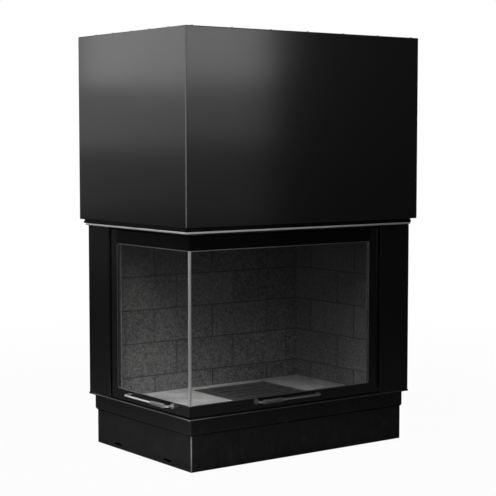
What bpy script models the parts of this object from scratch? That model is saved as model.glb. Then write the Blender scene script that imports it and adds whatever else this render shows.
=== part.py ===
"""Corner fireplace insert with glass on its front and on its left side.

Both panes are one L-shaped door, which lifts straight up behind the tall casing on two guide rails.
A cable over a pulley joins each end of the door to a counterweight behind the side covers. The firebox
has a brick lining on its back and right side, a hearth with a loose grate over an ash pan, a baffle,
and a smoke dome below the flue collar.

Metres, +Z up. The origin is on the floor under the centre of the casing. The front faces -Y, the
glazed side faces -X.
"""

import math

import bmesh
import bpy
from mathutils import Matrix, Vector

# Fits that several pieces share
FIT = 0.0003
RUNNING_CLEARANCE = 0.0005
PIN_CLEARANCE = 0.0001
FOLD_CLEARANCE = 0.002
CUT_OVERRUN = 0.005

# Upper casing
HOOD_WIDTH = 1.000
HOOD_DEPTH = 0.677
HOOD_BOTTOM = 0.813
HOOD_TOP = 1.455
CASING_SHEET = 0.002
CASING_BEND = 0.003
HOOD_TOP_FLANGE = 0.018
HOOD_FRONT_FLANGE = 0.030
HOOD_SEAT_FLANGE = 0.009

# Black rail under the front and left casing sheets, and the bright strip below it
LIP_HEIGHT = 0.0187
LIP_DEPTH = 0.016
LIP_CHAMFER = 0.0012
LIP_SHADOW_HEIGHT = 0.004
LIP_SHADOW_DEPTH = 0.005
LIP_RAIL_SETBACK = 0.0015
LIP_RAIL_RIGHT_INSET = 0.028
LIP_RAIL_REAR_INSET = 0.028
TRIM_HEIGHT = 0.006
TRIM_RIGHT_INSET = 0.031
TRIM_REAR_INSET = 0.044

# Plinth, the wider band on it, and the ledge under the door
PLINTH_LEFT_SETBACK = 0.068
PLINTH_FRONT_SETBACK = 0.0755
PLINTH_HEIGHT = 0.126
PLINTH_FLANGE = 0.022
BAND_OVERHANG = 0.010
BAND_HEIGHT = 0.0557
BAND_FLANGE = 0.028
LEDGE_THICKNESS = 0.0063
LEDGE_OVERHANG = 0.0015
LEDGE_SEAT = 0.0055
LEDGE_EDGE = 0.001
CASE_RIGHT_INSET = 0.005
FOOT_SLOT_LENGTH = 0.044
FOOT_SLOT_HEIGHT = 0.008
FOOT_HOLE_RADIUS = 0.0025
FOOT_CUT_RISE = 0.0165
LEFT_SLOT_SHARES = (0.239, 0.768)
LEFT_HOLE_SHARES = (0.115, 0.894, 0.973)
FRONT_HOLE_SHARES = (0.932, 0.983)

# Side covers and the back sheet
DOOR_SETBACK = 0.035
RIGHT_COVER_WIDTH = 0.137
LEFT_COVER_WIDTH = 0.142
COVER_GAP = 0.012
COVER_RETURN = 0.018
COVER_REAR_RETURN = 0.040
VENT_LENGTH = 0.090
VENT_HEIGHT = 0.010
VENT_PITCH = 0.022
VENT_ROWS = 3
VENT_RISE = 0.045
VENT_COLUMN_SHARES = (0.15, 0.38, 0.62, 0.85)

# Door
DOOR_LEDGE_GAP = 0.0051
DOOR_BOTTOM_RAIL = 0.036
GLASS_SIGHT_HEIGHT = 0.507
DOOR_TOP_RAIL = 0.048
DOOR_STILE = 0.041
DOOR_SECTION = 0.0205
DOOR_BACK_LEG = 0.020
DOOR_SHEET = 0.002
STILE_BEND = 0.006
GLASS_THICKNESS = 0.004
GLASS_LAP = 0.014
CORNER_STRIP = 0.008
CORNER_STRIP_EDGE = 0.0012
DOOR_LIFT = 0.545

# Handles
HANDLE_LENGTH = 0.260
HANDLE_FRONT_START = 0.268
HANDLE_SIDE_START = 0.0985
HANDLE_RISE = 0.0255
HANDLE_STANDOFF = 0.0270
HANDLE_BEND = 0.010
HANDLE_ROD_RADIUS = 0.004
GRIP_RADIUS = 0.0072
GRIP_LENGTH = 0.080
GRIP_START = 0.012
GRIP_ROUNDING = 0.002
ROSETTE_RADIUS = 0.0095
ROSETTE_THICKNESS = 0.004

# Carriages at the ends of the door and the rails that they run in
CARRIAGE_PLATE = 0.003
CARRIAGE_FOOT = 0.010
CARRIAGE_TAIL = 0.035
CARRIAGE_BAR = 0.026
CARRIAGE_CORNER = 0.008
CARRIAGE_WINDOWS = 3
GUIDE_SHEET = 0.002
GUIDE_BEND = 0.003
GUIDE_INNER_WIDTH = 0.014
GUIDE_DEPTH = 0.026
GUIDE_CASE_GAP = 0.005
GUIDE_HEADROOM = 0.015
SHOE_LENGTH = 0.060
SHOE_DEPTH = 0.018
SHOE_LEAD = 0.002
SOCKET_RADIUS = 0.0035
SOCKET_HEIGHT = 0.012

# Cables, pulleys and counterweights
CABLE_RADIUS = 0.0015
CABLE_INSET = 0.053
CABLE_POINT_SPACING = 0.060
CABLE_ARC_STEPS = 24
PULLEY_RADIUS = 0.036
PULLEY_RIM = 0.006
PULLEY_RIM_DEPTH = 0.008
PULLEY_RIM_LIP = 0.002
PULLEY_WIDTH = 0.014
PULLEY_HUB_RADIUS = 0.012
PULLEY_WEB = 0.005
PULLEY_HOLE_RADIUS = 0.0055
PULLEY_HOLES = 5
PULLEY_DROP = 0.066
AXLE_RADIUS = 0.005
AXLE_HEAD_RADIUS = 0.008
AXLE_HEAD = 0.003
BRACKET_SHEET = 0.003
BRACKET_WIDTH = 0.032
BRACKET_BEND = 0.004
WEIGHT_LENGTH = 0.310
WEIGHT_WIDTH = 0.054
WEIGHT_DEPTH = 0.060
WEIGHT_EDGE = 0.003
WEIGHT_HEADROOM = 0.016

# Firebox, between the glass and the wells that the counterweights move in
SIDE_WELL_WIDTH = 0.0997
BACK_WELL_DEPTH = 0.1232
HEARTH_TOP = 0.190
HEARTH_THICKNESS = 0.030
HEARTH_EDGE = 0.0015
FLOOR_PLATE = 0.003
FLOOR_BEND = 0.006
SHELL_PLATE = 0.003
BRICK_DEPTH = 0.030
BRICK_LENGTH = 0.249
BOTTOM_COURSE_HEIGHT = 0.0911
COURSE_PITCH = 0.1195
COURSE_COUNT = 5
BRICK_CHAMFER = 0.0016
BRICK_JOINT_HALF_WIDTH = 0.0018
BRICK_JOINT_DEPTH = 0.0030
BACK_FIRST_BRICKS = (0.147, 0.053)
RIGHT_FIRST_BRICKS = (0.087, 0.242)
BAFFLE_THICKNESS = 0.030
BAFFLE_THROAT = 0.160
BAFFLE_REBATE = 0.0155
BAFFLE_EDGE = 0.002

# Grate and ash pan
GRATE_WIDTH = 0.330
GRATE_DEPTH = 0.300
GRATE_LEFT_SHARE = 0.6017
GRATE_BACK_SHARE = 0.248
GRATE_CLEARANCE = 0.001
GRATE_DROP = 0.002
GRATE_PLATE = 0.012
GRATE_WALL = 0.010
GRATE_CORNER = 0.012
GRATE_EDGE = 0.002
GRATE_SLOT_COUNT = 5
GRATE_SLOT_PITCH = 0.050
GRATE_SLOT_WIDTH = 0.014
GRATE_SLOT_START = 0.057
GRATE_SLOT_END = 0.023
GRATE_SHORT_SLOT_GAP = 0.022
GRATE_SHORT_SLOT_LENGTH = 0.028
GRATE_KNOB_RADIUS = 0.007
GRATE_KNOB_HEIGHT = 0.003
GRATE_KNOB_SHARES = (0.695, 0.40)
PAN_CLEARANCE = 0.003
PAN_SEAT = 0.004
PAN_DEPTH = 0.055
PAN_TAPER = 0.008
PAN_SHEET = 0.0015
PAN_CORNER = 0.006

# Smoke dome, flue collar and the plate that closes the casing
DOME_SETBACK = 0.0285
DOME_BASE = 0.800
DOME_TOP = 1.300
DOME_PLATE = 0.003
DOME_TOP_SIDE = 0.230
LINTEL_RISE = 0.004
LINTEL_FLANGE = 0.015
FLUE_RADIUS = 0.100
FLUE_WALL = 0.003
FLUE_RISE = 0.017
FLUE_HOLE_GAP = 0.006
COLLAR_FLANGE = 0.004
AIR_SLOT_LENGTH = 0.110
AIR_SLOT_WIDTH = 0.012
AIR_SLOT_PITCH = 0.026
AIR_SLOT_ROWS = 2
AIR_SLOT_INSET = 0.060
AIR_SLOT_COLUMN_SHARES = (0.20, 0.35, 0.50, 0.65, 0.80)

# Facets of round shapes
ROUND_SIDES = 32
SMALL_SIDES = 16
FLUE_SIDES = 48
BEND_STEPS = 2
ARC_STEPS = 5

# Outlines worked out from the sizes above
LEFT = -HOOD_WIDTH / 2
RIGHT = HOOD_WIDTH / 2
FRONT = -HOOD_DEPTH / 2
BACK = HOOD_DEPTH / 2
CASE_RIGHT = RIGHT - CASE_RIGHT_INSET
PLINTH_LEFT = LEFT + PLINTH_LEFT_SETBACK
PLINTH_FRONT = FRONT + PLINTH_FRONT_SETBACK
BAND_LEFT = PLINTH_LEFT - BAND_OVERHANG
BAND_FRONT = PLINTH_FRONT - BAND_OVERHANG
BAND_BOTTOM = PLINTH_HEIGHT + FIT
BAND_TOP = BAND_BOTTOM + BAND_HEIGHT
LEDGE_BOTTOM = BAND_TOP + FIT
LEDGE_TOP = LEDGE_BOTTOM + LEDGE_THICKNESS
COVER_BOTTOM = LEDGE_TOP + FIT
COVER_TOP = HOOD_BOTTOM - FIT
ROOF_TOP = HOOD_TOP - CASING_SHEET - FIT
ROOF_BOTTOM = ROOF_TOP - CASING_SHEET

DOOR_X = LEFT + DOOR_SETBACK
DOOR_Y = FRONT + DOOR_SETBACK
RIGHT_COVER_EDGE = CASE_RIGHT - RIGHT_COVER_WIDTH
LEFT_COVER_EDGE = BACK - LEFT_COVER_WIDTH
DOOR_FRONT_LENGTH = RIGHT_COVER_EDGE - COVER_GAP - DOOR_X
DOOR_SIDE_LENGTH = LEFT_COVER_EDGE - COVER_GAP - DOOR_Y
DOOR_BOTTOM = LEDGE_TOP + DOOR_LEDGE_GAP
SIGHT_BOTTOM = DOOR_BOTTOM + DOOR_BOTTOM_RAIL
SIGHT_TOP = SIGHT_BOTTOM + GLASS_SIGHT_HEIGHT
DOOR_TOP = SIGHT_TOP + DOOR_TOP_RAIL
GLASS_DEPTH = DOOR_SHEET + FIT
PLATE_DEPTH = DOOR_SECTION + FIT
PLATE_MIDDLE = PLATE_DEPTH + CARRIAGE_PLATE / 2
GUIDE_TOP = DOOR_TOP + DOOR_LIFT + GUIDE_HEADROOM
PULLEY_Z = ROOF_BOTTOM - PULLEY_DROP
WEIGHT_TOP = PULLEY_Z - PULLEY_RADIUS - PULLEY_RIM - WEIGHT_HEADROOM

HEARTH_LEFT = BAND_LEFT + LEDGE_SEAT + FIT
HEARTH_FRONT = BAND_FRONT + LEDGE_SEAT + FIT
FIREBOX_WIDTH = CASE_RIGHT - SIDE_WELL_WIDTH - SHELL_PLATE - FIT - BRICK_DEPTH - HEARTH_LEFT
FIREBOX_DEPTH = BACK - BACK_WELL_DEPTH - SHELL_PLATE - FIT - BRICK_DEPTH - HEARTH_FRONT
LINING_RIGHT = HEARTH_LEFT + FIREBOX_WIDTH
LINING_BACK = HEARTH_FRONT + FIREBOX_DEPTH
SHELL_RIGHT = LINING_RIGHT + BRICK_DEPTH + FIT
SHELL_BACK = LINING_BACK + BRICK_DEPTH + FIT
FLOOR_TOP = HEARTH_TOP - HEARTH_THICKNESS - FIT
LINING_BOTTOM = FLOOR_TOP + FIT
LINING_TOP = LINING_BOTTOM + BOTTOM_COURSE_HEIGHT + (COURSE_COUNT - 1) * COURSE_PITCH
DOME_LEFT = DOOR_X + DOME_SETBACK
DOME_FRONT = DOOR_Y + DOME_SETBACK
DOME_RIGHT = SHELL_RIGHT + SHELL_PLATE
DOME_BACK = SHELL_BACK + SHELL_PLATE
SHELL_LEFT = DOME_LEFT + DOME_PLATE + FIT
LINTEL_BOTTOM = SIGHT_TOP + LINTEL_RISE

GRATE_X = HEARTH_LEFT + GRATE_WIDTH / 2 + GRATE_LEFT_SHARE * (FIREBOX_WIDTH - GRATE_WIDTH)
GRATE_Y = LINING_BACK - GRATE_DEPTH / 2 - GRATE_BACK_SHARE * (FIREBOX_DEPTH - GRATE_DEPTH)
GRATE_TOP = HEARTH_TOP - GRATE_DROP
GRATE_SHORT_SLOTS = GRATE_SHORT_SLOT_GAP + GRATE_SHORT_SLOT_LENGTH
GRATE_SLOT_LENGTH = GRATE_WIDTH - GRATE_SLOT_START - GRATE_SHORT_SLOTS - GRATE_SLOT_END

UP = Vector((0, 0, 1))
X_AXIS = Vector((1, 0, 0))
Y_AXIS = Vector((0, 1, 0))


class DoorRun:
    """One side of the L-shaped door: s runs from the glass corner, d runs inward from the door's face."""

    def __init__(self, along, inward, length, case_end, handle_start):
        self.along = along
        self.inward = inward
        self.length = length
        self.handle_start = handle_start
        self.cable = case_end - CABLE_INSET
        self.guide_web = case_end - GUIDE_CASE_GAP
        self.plate_end = self.guide_web - GUIDE_SHEET - RUNNING_CLEARANCE
        self.plate_start = length - CARRIAGE_TAIL

    def at(self, s, d, z):
        return Vector((DOOR_X, DOOR_Y, 0)) + self.along * s + self.inward * d + UP * z


FRONT_CASE_END = CASE_RIGHT - CASING_SHEET - DOOR_X
SIDE_CASE_END = BACK - CASING_SHEET - DOOR_Y
FRONT_RUN = DoorRun(X_AXIS, Y_AXIS, DOOR_FRONT_LENGTH, FRONT_CASE_END, HANDLE_FRONT_START)
SIDE_RUN = DoorRun(Y_AXIS, X_AXIS, DOOR_SIDE_LENGTH, SIDE_CASE_END, HANDLE_SIDE_START)


def clear_scene():
    for obj in list(bpy.data.objects):
        bpy.data.objects.remove(obj)


def material(name, colour, metallic, roughness, alpha=1.0):
    made = bpy.data.materials.new(name)
    made.use_nodes = True
    shader = made.node_tree.nodes["Principled BSDF"]
    shader.inputs["Base Color"].default_value = (*colour, 1.0)
    shader.inputs["Metallic"].default_value = metallic
    shader.inputs["Roughness"].default_value = roughness
    shader.inputs["Alpha"].default_value = alpha
    made.diffuse_color = (*colour, alpha)
    return made


def part_materials():
    return {
        "casing": material("black_satin_paint", (0.030, 0.030, 0.032), 0.3, 0.42),
        "frame": material("black_frame_paint", (0.018, 0.018, 0.019), 0.3, 0.38),
        "steel": material("dark_plate_steel", (0.10, 0.10, 0.105), 0.7, 0.55),
        "zinc": material("zinc_sheet", (0.42, 0.43, 0.44), 0.9, 0.40),
        "bright": material("brushed_steel", (0.62, 0.62, 0.63), 1.0, 0.26),
        "iron": material("cast_iron", (0.045, 0.045, 0.048), 0.6, 0.60),
        "brick": material("fire_brick", (0.115, 0.110, 0.105), 0.0, 0.92),
        "hearth": material("hearth_slab", (0.34, 0.335, 0.325), 0.0, 0.88),
        "glass": material("fire_glass", (0.90, 0.92, 0.92), 0.0, 0.03, 0.18),
    }


def object_from(name, mesh, look=None):
    obj = bpy.data.objects.new(name, mesh)
    bpy.context.scene.collection.objects.link(obj)
    if look:
        mesh.materials.append(look)
    return obj


def skin(name, rings, look=None, closed=False):
    """Joins rings of as many points into one skin. An open row of rings gets a face on each end."""
    bm = bmesh.new()
    rows = [[bm.verts.new(point) for point in ring] for ring in rings]
    count = len(rows[0])
    pairs = list(zip(rows, rows[1:]))
    if closed:
        pairs.append((rows[-1], rows[0]))
    else:
        bm.faces.new(rows[0])
        bm.faces.new(rows[-1])
    for near, far in pairs:
        for i in range(count):
            j = (i + 1) % count
            bm.faces.new((near[i], near[j], far[j], far[i]))
    bmesh.ops.recalc_face_normals(bm, faces=bm.faces)
    if bm.calc_volume(signed=True) < 0:
        bmesh.ops.reverse_faces(bm, faces=bm.faces)
    mesh = bpy.data.meshes.new(name)
    bm.to_mesh(mesh)
    bm.free()
    return object_from(name, mesh, look)


def prism(name, outline, place, low, high, look=None):
    """Carries an outline of (a, b) pairs between two levels, where place(a, b, level) gives a point."""
    rings = [[place(a, b, level) for a, b in outline] for level in (low, high)]
    return skin(name, rings, look)


def along_x(a, b, level):
    return Vector((level, a, b))


def along_y(a, b, level):
    return Vector((a, level, b))


def along_z(a, b, level):
    return Vector((a, b, level))


def box(name, low, high, look=None):
    corners = ((low[0], low[1]), (high[0], low[1]), (high[0], high[1]), (low[0], high[1]))
    return prism(name, corners, along_z, low[2], high[2], look)


def spokes_of(axis, sides):
    """Unit vectors square to an axis, spread evenly round it."""
    across = axis.orthogonal().normalized()
    return [Matrix.Rotation(math.tau * k / sides, 3, axis) @ across for k in range(sides)]


def turned_ring(name, profile, centre, axis, sides, look=None):
    """Turns a closed profile of (radius, height) pairs round an axis that it keeps clear of."""
    rings = []
    for spoke in spokes_of(axis, sides):
        rings.append([centre + spoke * r + axis * h for r, h in profile])
    return smooth(skin(name, rings, look, closed=True))


def turned_solid(name, profile, centre, axis, sides, look=None):
    """Turns an open profile into a solid with a flat face at each end."""
    spokes = spokes_of(axis, sides)
    rings = [[centre + spoke * r + axis * h for spoke in spokes] for r, h in profile]
    return smooth(skin(name, rings, look))


def cylinder(name, centre, axis, radius, low, high, sides):
    return turned_solid(name, [(radius, low), (radius, high)], centre, axis, sides)


def tube(name, points, radius, look=None):
    """A round bar along points, from a curve with a bevel and filled ends."""
    curve = bpy.data.curves.new(name, "CURVE")
    curve.dimensions = "3D"
    curve.bevel_depth = radius
    curve.bevel_resolution = 2
    curve.use_fill_caps = True
    spline = curve.splines.new("POLY")
    spline.points.add(len(points) - 1)
    for target, point in zip(spline.points, points):
        target.co = (*point, 1)
    if look:
        curve.materials.append(look)
    obj = bpy.data.objects.new(name, curve)
    bpy.context.scene.collection.objects.link(obj)
    return obj


def tube_mesh(name, points, radius, look):
    """The tube as a mesh, so that a Boolean can take it."""
    guide = tube(name + "_guide", points, radius)
    bpy.context.view_layer.update()
    mesh = bpy.data.meshes.new_from_object(guide.evaluated_get(bpy.context.evaluated_depsgraph_get()))
    mesh.name = name
    bpy.data.objects.remove(guide)
    return smooth(object_from(name, mesh, look))


def smooth(obj):
    obj.data.shade_smooth()
    obj.data.set_sharp_from_angle(angle=math.radians(35))
    return obj


def combine(obj, helper, operation):
    """Cuts the helper from the object or joins it on, and leaves the helper as a wire guide."""
    helper.hide_render = True
    helper.display_type = "WIRE"
    modifier = obj.modifiers.new(helper.name, "BOOLEAN")
    modifier.operation = operation
    modifier.object = helper
    return obj


def cut(obj, helper):
    return combine(obj, helper, "DIFFERENCE")


def join(obj, helper):
    return combine(obj, helper, "UNION")


def merged(name, objects):
    """Puts helpers that don't touch into one helper, so that one Boolean serves a pattern."""
    bm = bmesh.new()
    for obj in objects:
        bm.from_mesh(obj.data)
        bpy.data.objects.remove(obj)
    mesh = bpy.data.meshes.new(name)
    bm.to_mesh(mesh)
    bm.free()
    return object_from(name, mesh)


def bevel(obj, width):
    modifier = obj.modifiers.new("edge", "BEVEL")
    modifier.width = width
    modifier.segments = 1
    modifier.limit_method = "ANGLE"
    return obj


def set_origin(obj, origin):
    """Moves the object's origin without moving its shape."""
    obj.data.transform(Matrix.Translation(-origin))
    obj.location = origin
    return obj


def carried_by(name, origin, objects):
    """An empty that carries the objects as one moving body."""
    empty = bpy.data.objects.new(name, None)
    empty.location = origin
    bpy.context.scene.collection.objects.link(empty)
    for obj in objects:
        obj.parent = empty
        obj.matrix_parent_inverse = Matrix.Translation(-origin)


def offset_line(line, distance):
    """The line moved to its left by a distance, with sharp corners."""
    steps = [(Vector(b) - Vector(a)).normalized() for a, b in zip(line, line[1:])]
    moved = []
    for i, point in enumerate(line):
        before = steps[max(i - 1, 0)]
        after = steps[min(i, len(steps) - 1)]
        left_before = Vector((-before.y, before.x))
        left_after = Vector((-after.y, after.x))
        shift = (left_before + left_after) / (1 + left_before.dot(left_after))
        moved.append(tuple(Vector(point) + shift * distance))
    return moved


def rounded_line(line, radius):
    """The line, which turns left, with an arc of the given radius in each of its inner corners."""
    points = [tuple(line[0])]
    for i in range(1, len(line) - 1):
        corner = Vector(line[i])
        before = (Vector(line[i - 1]) - corner).normalized()
        after = (Vector(line[i + 1]) - corner).normalized()
        half = before.angle(after) / 2
        centre = corner + (before + after).normalized() * (radius / math.sin(half))
        start = corner + before * (radius / math.tan(half)) - centre
        turn = math.pi - 2 * half
        for k in range(BEND_STEPS + 1):
            points.append(tuple(centre + Matrix.Rotation(turn * k / BEND_STEPS, 2) @ start))
    points.append(tuple(line[-1]))
    return points


def folded(line, sheet, bend):
    """The outline of a folded sheet. The line is its outer face and turns left, the sheet on its left."""
    return rounded_line(line, bend) + rounded_line(offset_line(line, sheet), bend - sheet)[::-1]


def slot_outline(length, width, centre):
    """A slot with round ends, along the first axis."""
    reach = (length - width) / 2
    points = []
    for side in (1, -1):
        for k in range(ARC_STEPS + 1):
            angle = math.pi * (k / ARC_STEPS - 0.5)
            a = side * (reach + math.cos(angle) * width / 2)
            points.append((centre[0] + a, centre[1] + side * math.sin(angle) * width / 2))
    return points


def circle_outline(radius, sides, centre):
    angles = [math.tau * k / sides for k in range(sides)]
    return [(centre[0] + radius * math.cos(a), centre[1] + radius * math.sin(a)) for a in angles]


def rounded_rectangle(centre, width, depth, radius):
    points = []
    for quarter, (a, b) in enumerate(((1, 1), (-1, 1), (-1, -1), (1, -1))):
        x = centre[0] + a * (width / 2 - radius)
        y = centre[1] + b * (depth / 2 - radius)
        for k in range(BEND_STEPS + 1):
            angle = math.tau * (quarter + k / BEND_STEPS) / 4
            points.append((x + radius * math.cos(angle), y + radius * math.sin(angle)))
    return points


def frame_corners(left, front, right, back):
    """The corners of an upright frame from the front left one round."""
    return [Vector((x, y, 0)) for x, y in ((left, front), (right, front), (right, back), (left, back))]


def corner_ring(outline, corner, ahead, behind, step):
    """A section across a rounded corner. Its middle step is the mitre, and the others lie to either side.

    ahead and behind point from the corner along the frame's two sides, and each is the other's depth.
    """
    turn = math.pi / 4 * step / BEND_STEPS
    spread = CASING_BEND * (step / BEND_STEPS - 1)
    ring = []
    for depth, z in outline:
        radius = CASING_BEND - depth
        if radius > 0:
            a = CASING_BEND - radius * math.cos(turn)
            b = CASING_BEND - radius * math.sin(turn)
        else:
            a = depth + max(0, spread)
            b = depth + max(0, -spread)
        ring.append(corner + ahead * a + behind * b + UP * z)
    return ring


def ring_sheet(name, outline, corners, look):
    """A closed frame with rounded corners, whose section is an outline of (depth, height) pairs."""
    rings = []
    for i, corner in enumerate(corners):
        ahead = (corners[(i + 1) % len(corners)] - corner).normalized()
        behind = (corners[i - 1] - corner).normalized()
        for step in range(2 * BEND_STEPS + 1):
            rings.append(corner_ring(outline, corner, ahead, behind, step))
    return skin(name, rings, look, closed=True)


def mitred_side(name, outline, near, far, look):
    """One side of such a frame, drawn back at both mitres so that its neighbours clear it."""
    run = (far - near).normalized()
    inward = UP.cross(run)
    shift = run * (FIT / math.sqrt(2))
    rings = []
    for step in range(BEND_STEPS, 2 * BEND_STEPS + 1):
        rings.append(corner_ring(outline, near + shift, run, inward, step))
    for step in range(BEND_STEPS + 1):
        rings.append(corner_ring(outline, far - shift, inward, -run, step))
    return skin(name, rings, look)


def plate_frame(name, outer, inner, low, high, edge, look):
    """A flat plate with an opening and chamfered upper edges. Rectangles are left, front, right, back."""
    shoulder = high - edge
    diagonals = (X_AXIS + Y_AXIS, Y_AXIS - X_AXIS, -X_AXIS - Y_AXIS, X_AXIS - Y_AXIS)
    rings = []
    for outside, inside, inward in zip(frame_corners(*outer), frame_corners(*inner), diagonals):
        ring = [outside + UP * low, outside + UP * shoulder, outside + inward * edge + UP * high]
        ring += [inside - inward * edge + UP * high, inside + UP * shoulder, inside + UP * low]
        rings.append(ring)
    skin(name, rings, look, closed=True)


def folded_channel(bottom, top, bottom_flange, top_flange):
    """The section of an upright casing sheet with flanges turned in. A flange of no depth is left off."""
    line = [(0, top), (0, bottom)]
    if top_flange:
        line.insert(0, (top_flange, top))
    if bottom_flange:
        line.append((bottom_flange, bottom))
    return folded(line, CASING_SHEET, CASING_BEND)


def plinth_base(looks):
    outline = folded_channel(0, PLINTH_HEIGHT, PLINTH_FLANGE, PLINTH_FLANGE)
    corners = frame_corners(PLINTH_LEFT, PLINTH_FRONT, CASE_RIGHT, BACK)
    base = ring_sheet("plinth_base", outline, corners, looks["casing"])
    cuts = []
    left_ends = (PLINTH_LEFT - CUT_OVERRUN, PLINTH_LEFT + CUT_OVERRUN)
    for share in LEFT_SLOT_SHARES + LEFT_HOLE_SHARES:
        centre = (PLINTH_FRONT + share * (BACK - PLINTH_FRONT), FOOT_CUT_RISE)
        if share in LEFT_SLOT_SHARES:
            shape = slot_outline(FOOT_SLOT_LENGTH, FOOT_SLOT_HEIGHT, centre)
        else:
            shape = circle_outline(FOOT_HOLE_RADIUS, SMALL_SIDES, centre)
        cuts.append(prism("foot_cut", shape, along_x, *left_ends))
    front_ends = (PLINTH_FRONT - CUT_OVERRUN, PLINTH_FRONT + CUT_OVERRUN)
    for share in FRONT_HOLE_SHARES:
        centre = (PLINTH_LEFT + share * (CASE_RIGHT - PLINTH_LEFT), FOOT_CUT_RISE)
        shape = circle_outline(FOOT_HOLE_RADIUS, SMALL_SIDES, centre)
        cuts.append(prism("foot_cut", shape, along_y, *front_ends))
    cut(base, merged("plinth_cuts", cuts))


def plinth_band(looks):
    outline = folded_channel(BAND_BOTTOM, BAND_TOP, BAND_FLANGE, 0)
    corners = frame_corners(BAND_LEFT, BAND_FRONT, CASE_RIGHT, BACK)
    ring_sheet("plinth_band", outline, corners, looks["casing"])


def sill_ledge(looks):
    outer = (DOOR_X - LEDGE_OVERHANG, DOOR_Y - LEDGE_OVERHANG, CASE_RIGHT, BACK)
    inner = (BAND_LEFT + LEDGE_SEAT, BAND_FRONT + LEDGE_SEAT, DOME_RIGHT + FIT, DOME_BACK + FIT)
    plate_frame("sill_ledge", outer, inner, LEDGE_BOTTOM, LEDGE_TOP, LEDGE_EDGE, looks["frame"])


def side_covers(looks):
    """The two black covers beside the door, each one folded sheet, and the flat back sheet between them."""
    right_line = [
        (RIGHT_COVER_EDGE, DOOR_Y + COVER_RETURN),
        (RIGHT_COVER_EDGE, DOOR_Y),
        (CASE_RIGHT, DOOR_Y),
        (CASE_RIGHT, BACK),
    ]
    right_outline = folded(right_line, CASING_SHEET, CASING_BEND)
    prism("pilaster_right", right_outline, along_z, COVER_BOTTOM, COVER_TOP, looks["frame"])
    left_line = [
        (DOOR_X + COVER_REAR_RETURN, BACK),
        (DOOR_X, BACK),
        (DOOR_X, LEFT_COVER_EDGE),
        (DOOR_X + COVER_RETURN, LEFT_COVER_EDGE),
    ]
    left_outline = folded(left_line, CASING_SHEET, CASING_BEND)
    prism("pilaster_left", left_outline, along_z, COVER_BOTTOM, COVER_TOP, looks["frame"])
    start = DOOR_X + COVER_REAR_RETURN + FIT
    end = CASE_RIGHT - CASING_SHEET - FIT
    low = (start, BACK - CASING_SHEET, COVER_BOTTOM)
    back = box("back_panel", low, (end, BACK, COVER_TOP), looks["zinc"])
    ends = (BACK - CASING_SHEET - CUT_OVERRUN, BACK + CUT_OVERRUN)
    vents = []
    for share in VENT_COLUMN_SHARES:
        for row in range(VENT_ROWS):
            centre = (start + share * (end - start), COVER_BOTTOM + VENT_RISE + row * VENT_PITCH)
            vents.append(prism("vent", slot_outline(VENT_LENGTH, VENT_HEIGHT, centre), along_y, *ends))
    cut(back, merged("back_vents", vents))


def hood(looks):
    """The upper casing: four sheets folded in at the top, mitred together at the corners."""
    corners = frame_corners(LEFT, FRONT, RIGHT, BACK)
    names = ("hood_front", "hood_right", "hood_back", "hood_left")
    flanges = (HOOD_FRONT_FLANGE, HOOD_SEAT_FLANGE, 0, HOOD_FRONT_FLANGE)
    for i, (name, flange) in enumerate(zip(names, flanges)):
        outline = folded_channel(HOOD_BOTTOM, HOOD_TOP, flange, HOOD_TOP_FLANGE)
        mitred_side(name, outline, corners[i], corners[(i + 1) % 4], looks["casing"])


def lip_bar(name, outline, right_inset, rear_inset, look):
    """A bar under the hood's front and left sheets. The outline's depths start at the hood's face."""
    stations = [
        (Vector((RIGHT - right_inset, FRONT, 0)), Y_AXIS),
        (Vector((LEFT, FRONT, 0)), X_AXIS + Y_AXIS),
        (Vector((LEFT, BACK - rear_inset, 0)), X_AXIS),
    ]
    rings = [[corner + inward * d + UP * z for d, z in outline] for corner, inward in stations]
    skin(name, rings, look)


def lip(looks):
    """The black rail under the hood, set back at its top to leave a shadow line, and its bright strip."""
    bottom = COVER_TOP - LIP_HEIGHT
    trim_top = bottom + TRIM_HEIGHT
    trim = [
        (LIP_CHAMFER, bottom),
        (LIP_DEPTH, bottom),
        (LIP_DEPTH, trim_top),
        (LIP_CHAMFER, trim_top),
        (0, trim_top - LIP_CHAMFER),
        (0, bottom + LIP_CHAMFER),
    ]
    lip_bar("lip_trim", trim, TRIM_RIGHT_INSET, TRIM_REAR_INSET, looks["bright"])
    face_top = COVER_TOP - LIP_SHADOW_HEIGHT
    rail = [
        (LIP_RAIL_SETBACK, trim_top + FIT),
        (LIP_DEPTH, trim_top + FIT),
        (LIP_DEPTH, COVER_TOP),
        (LIP_SHADOW_DEPTH, COVER_TOP),
        (LIP_SHADOW_DEPTH, face_top),
        (LIP_RAIL_SETBACK + LIP_CHAMFER, face_top),
        (LIP_RAIL_SETBACK, face_top - LIP_CHAMFER),
    ]
    lip_bar("lip_rail", rail, LIP_RAIL_RIGHT_INSET, LIP_RAIL_REAR_INSET, looks["frame"])


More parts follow.
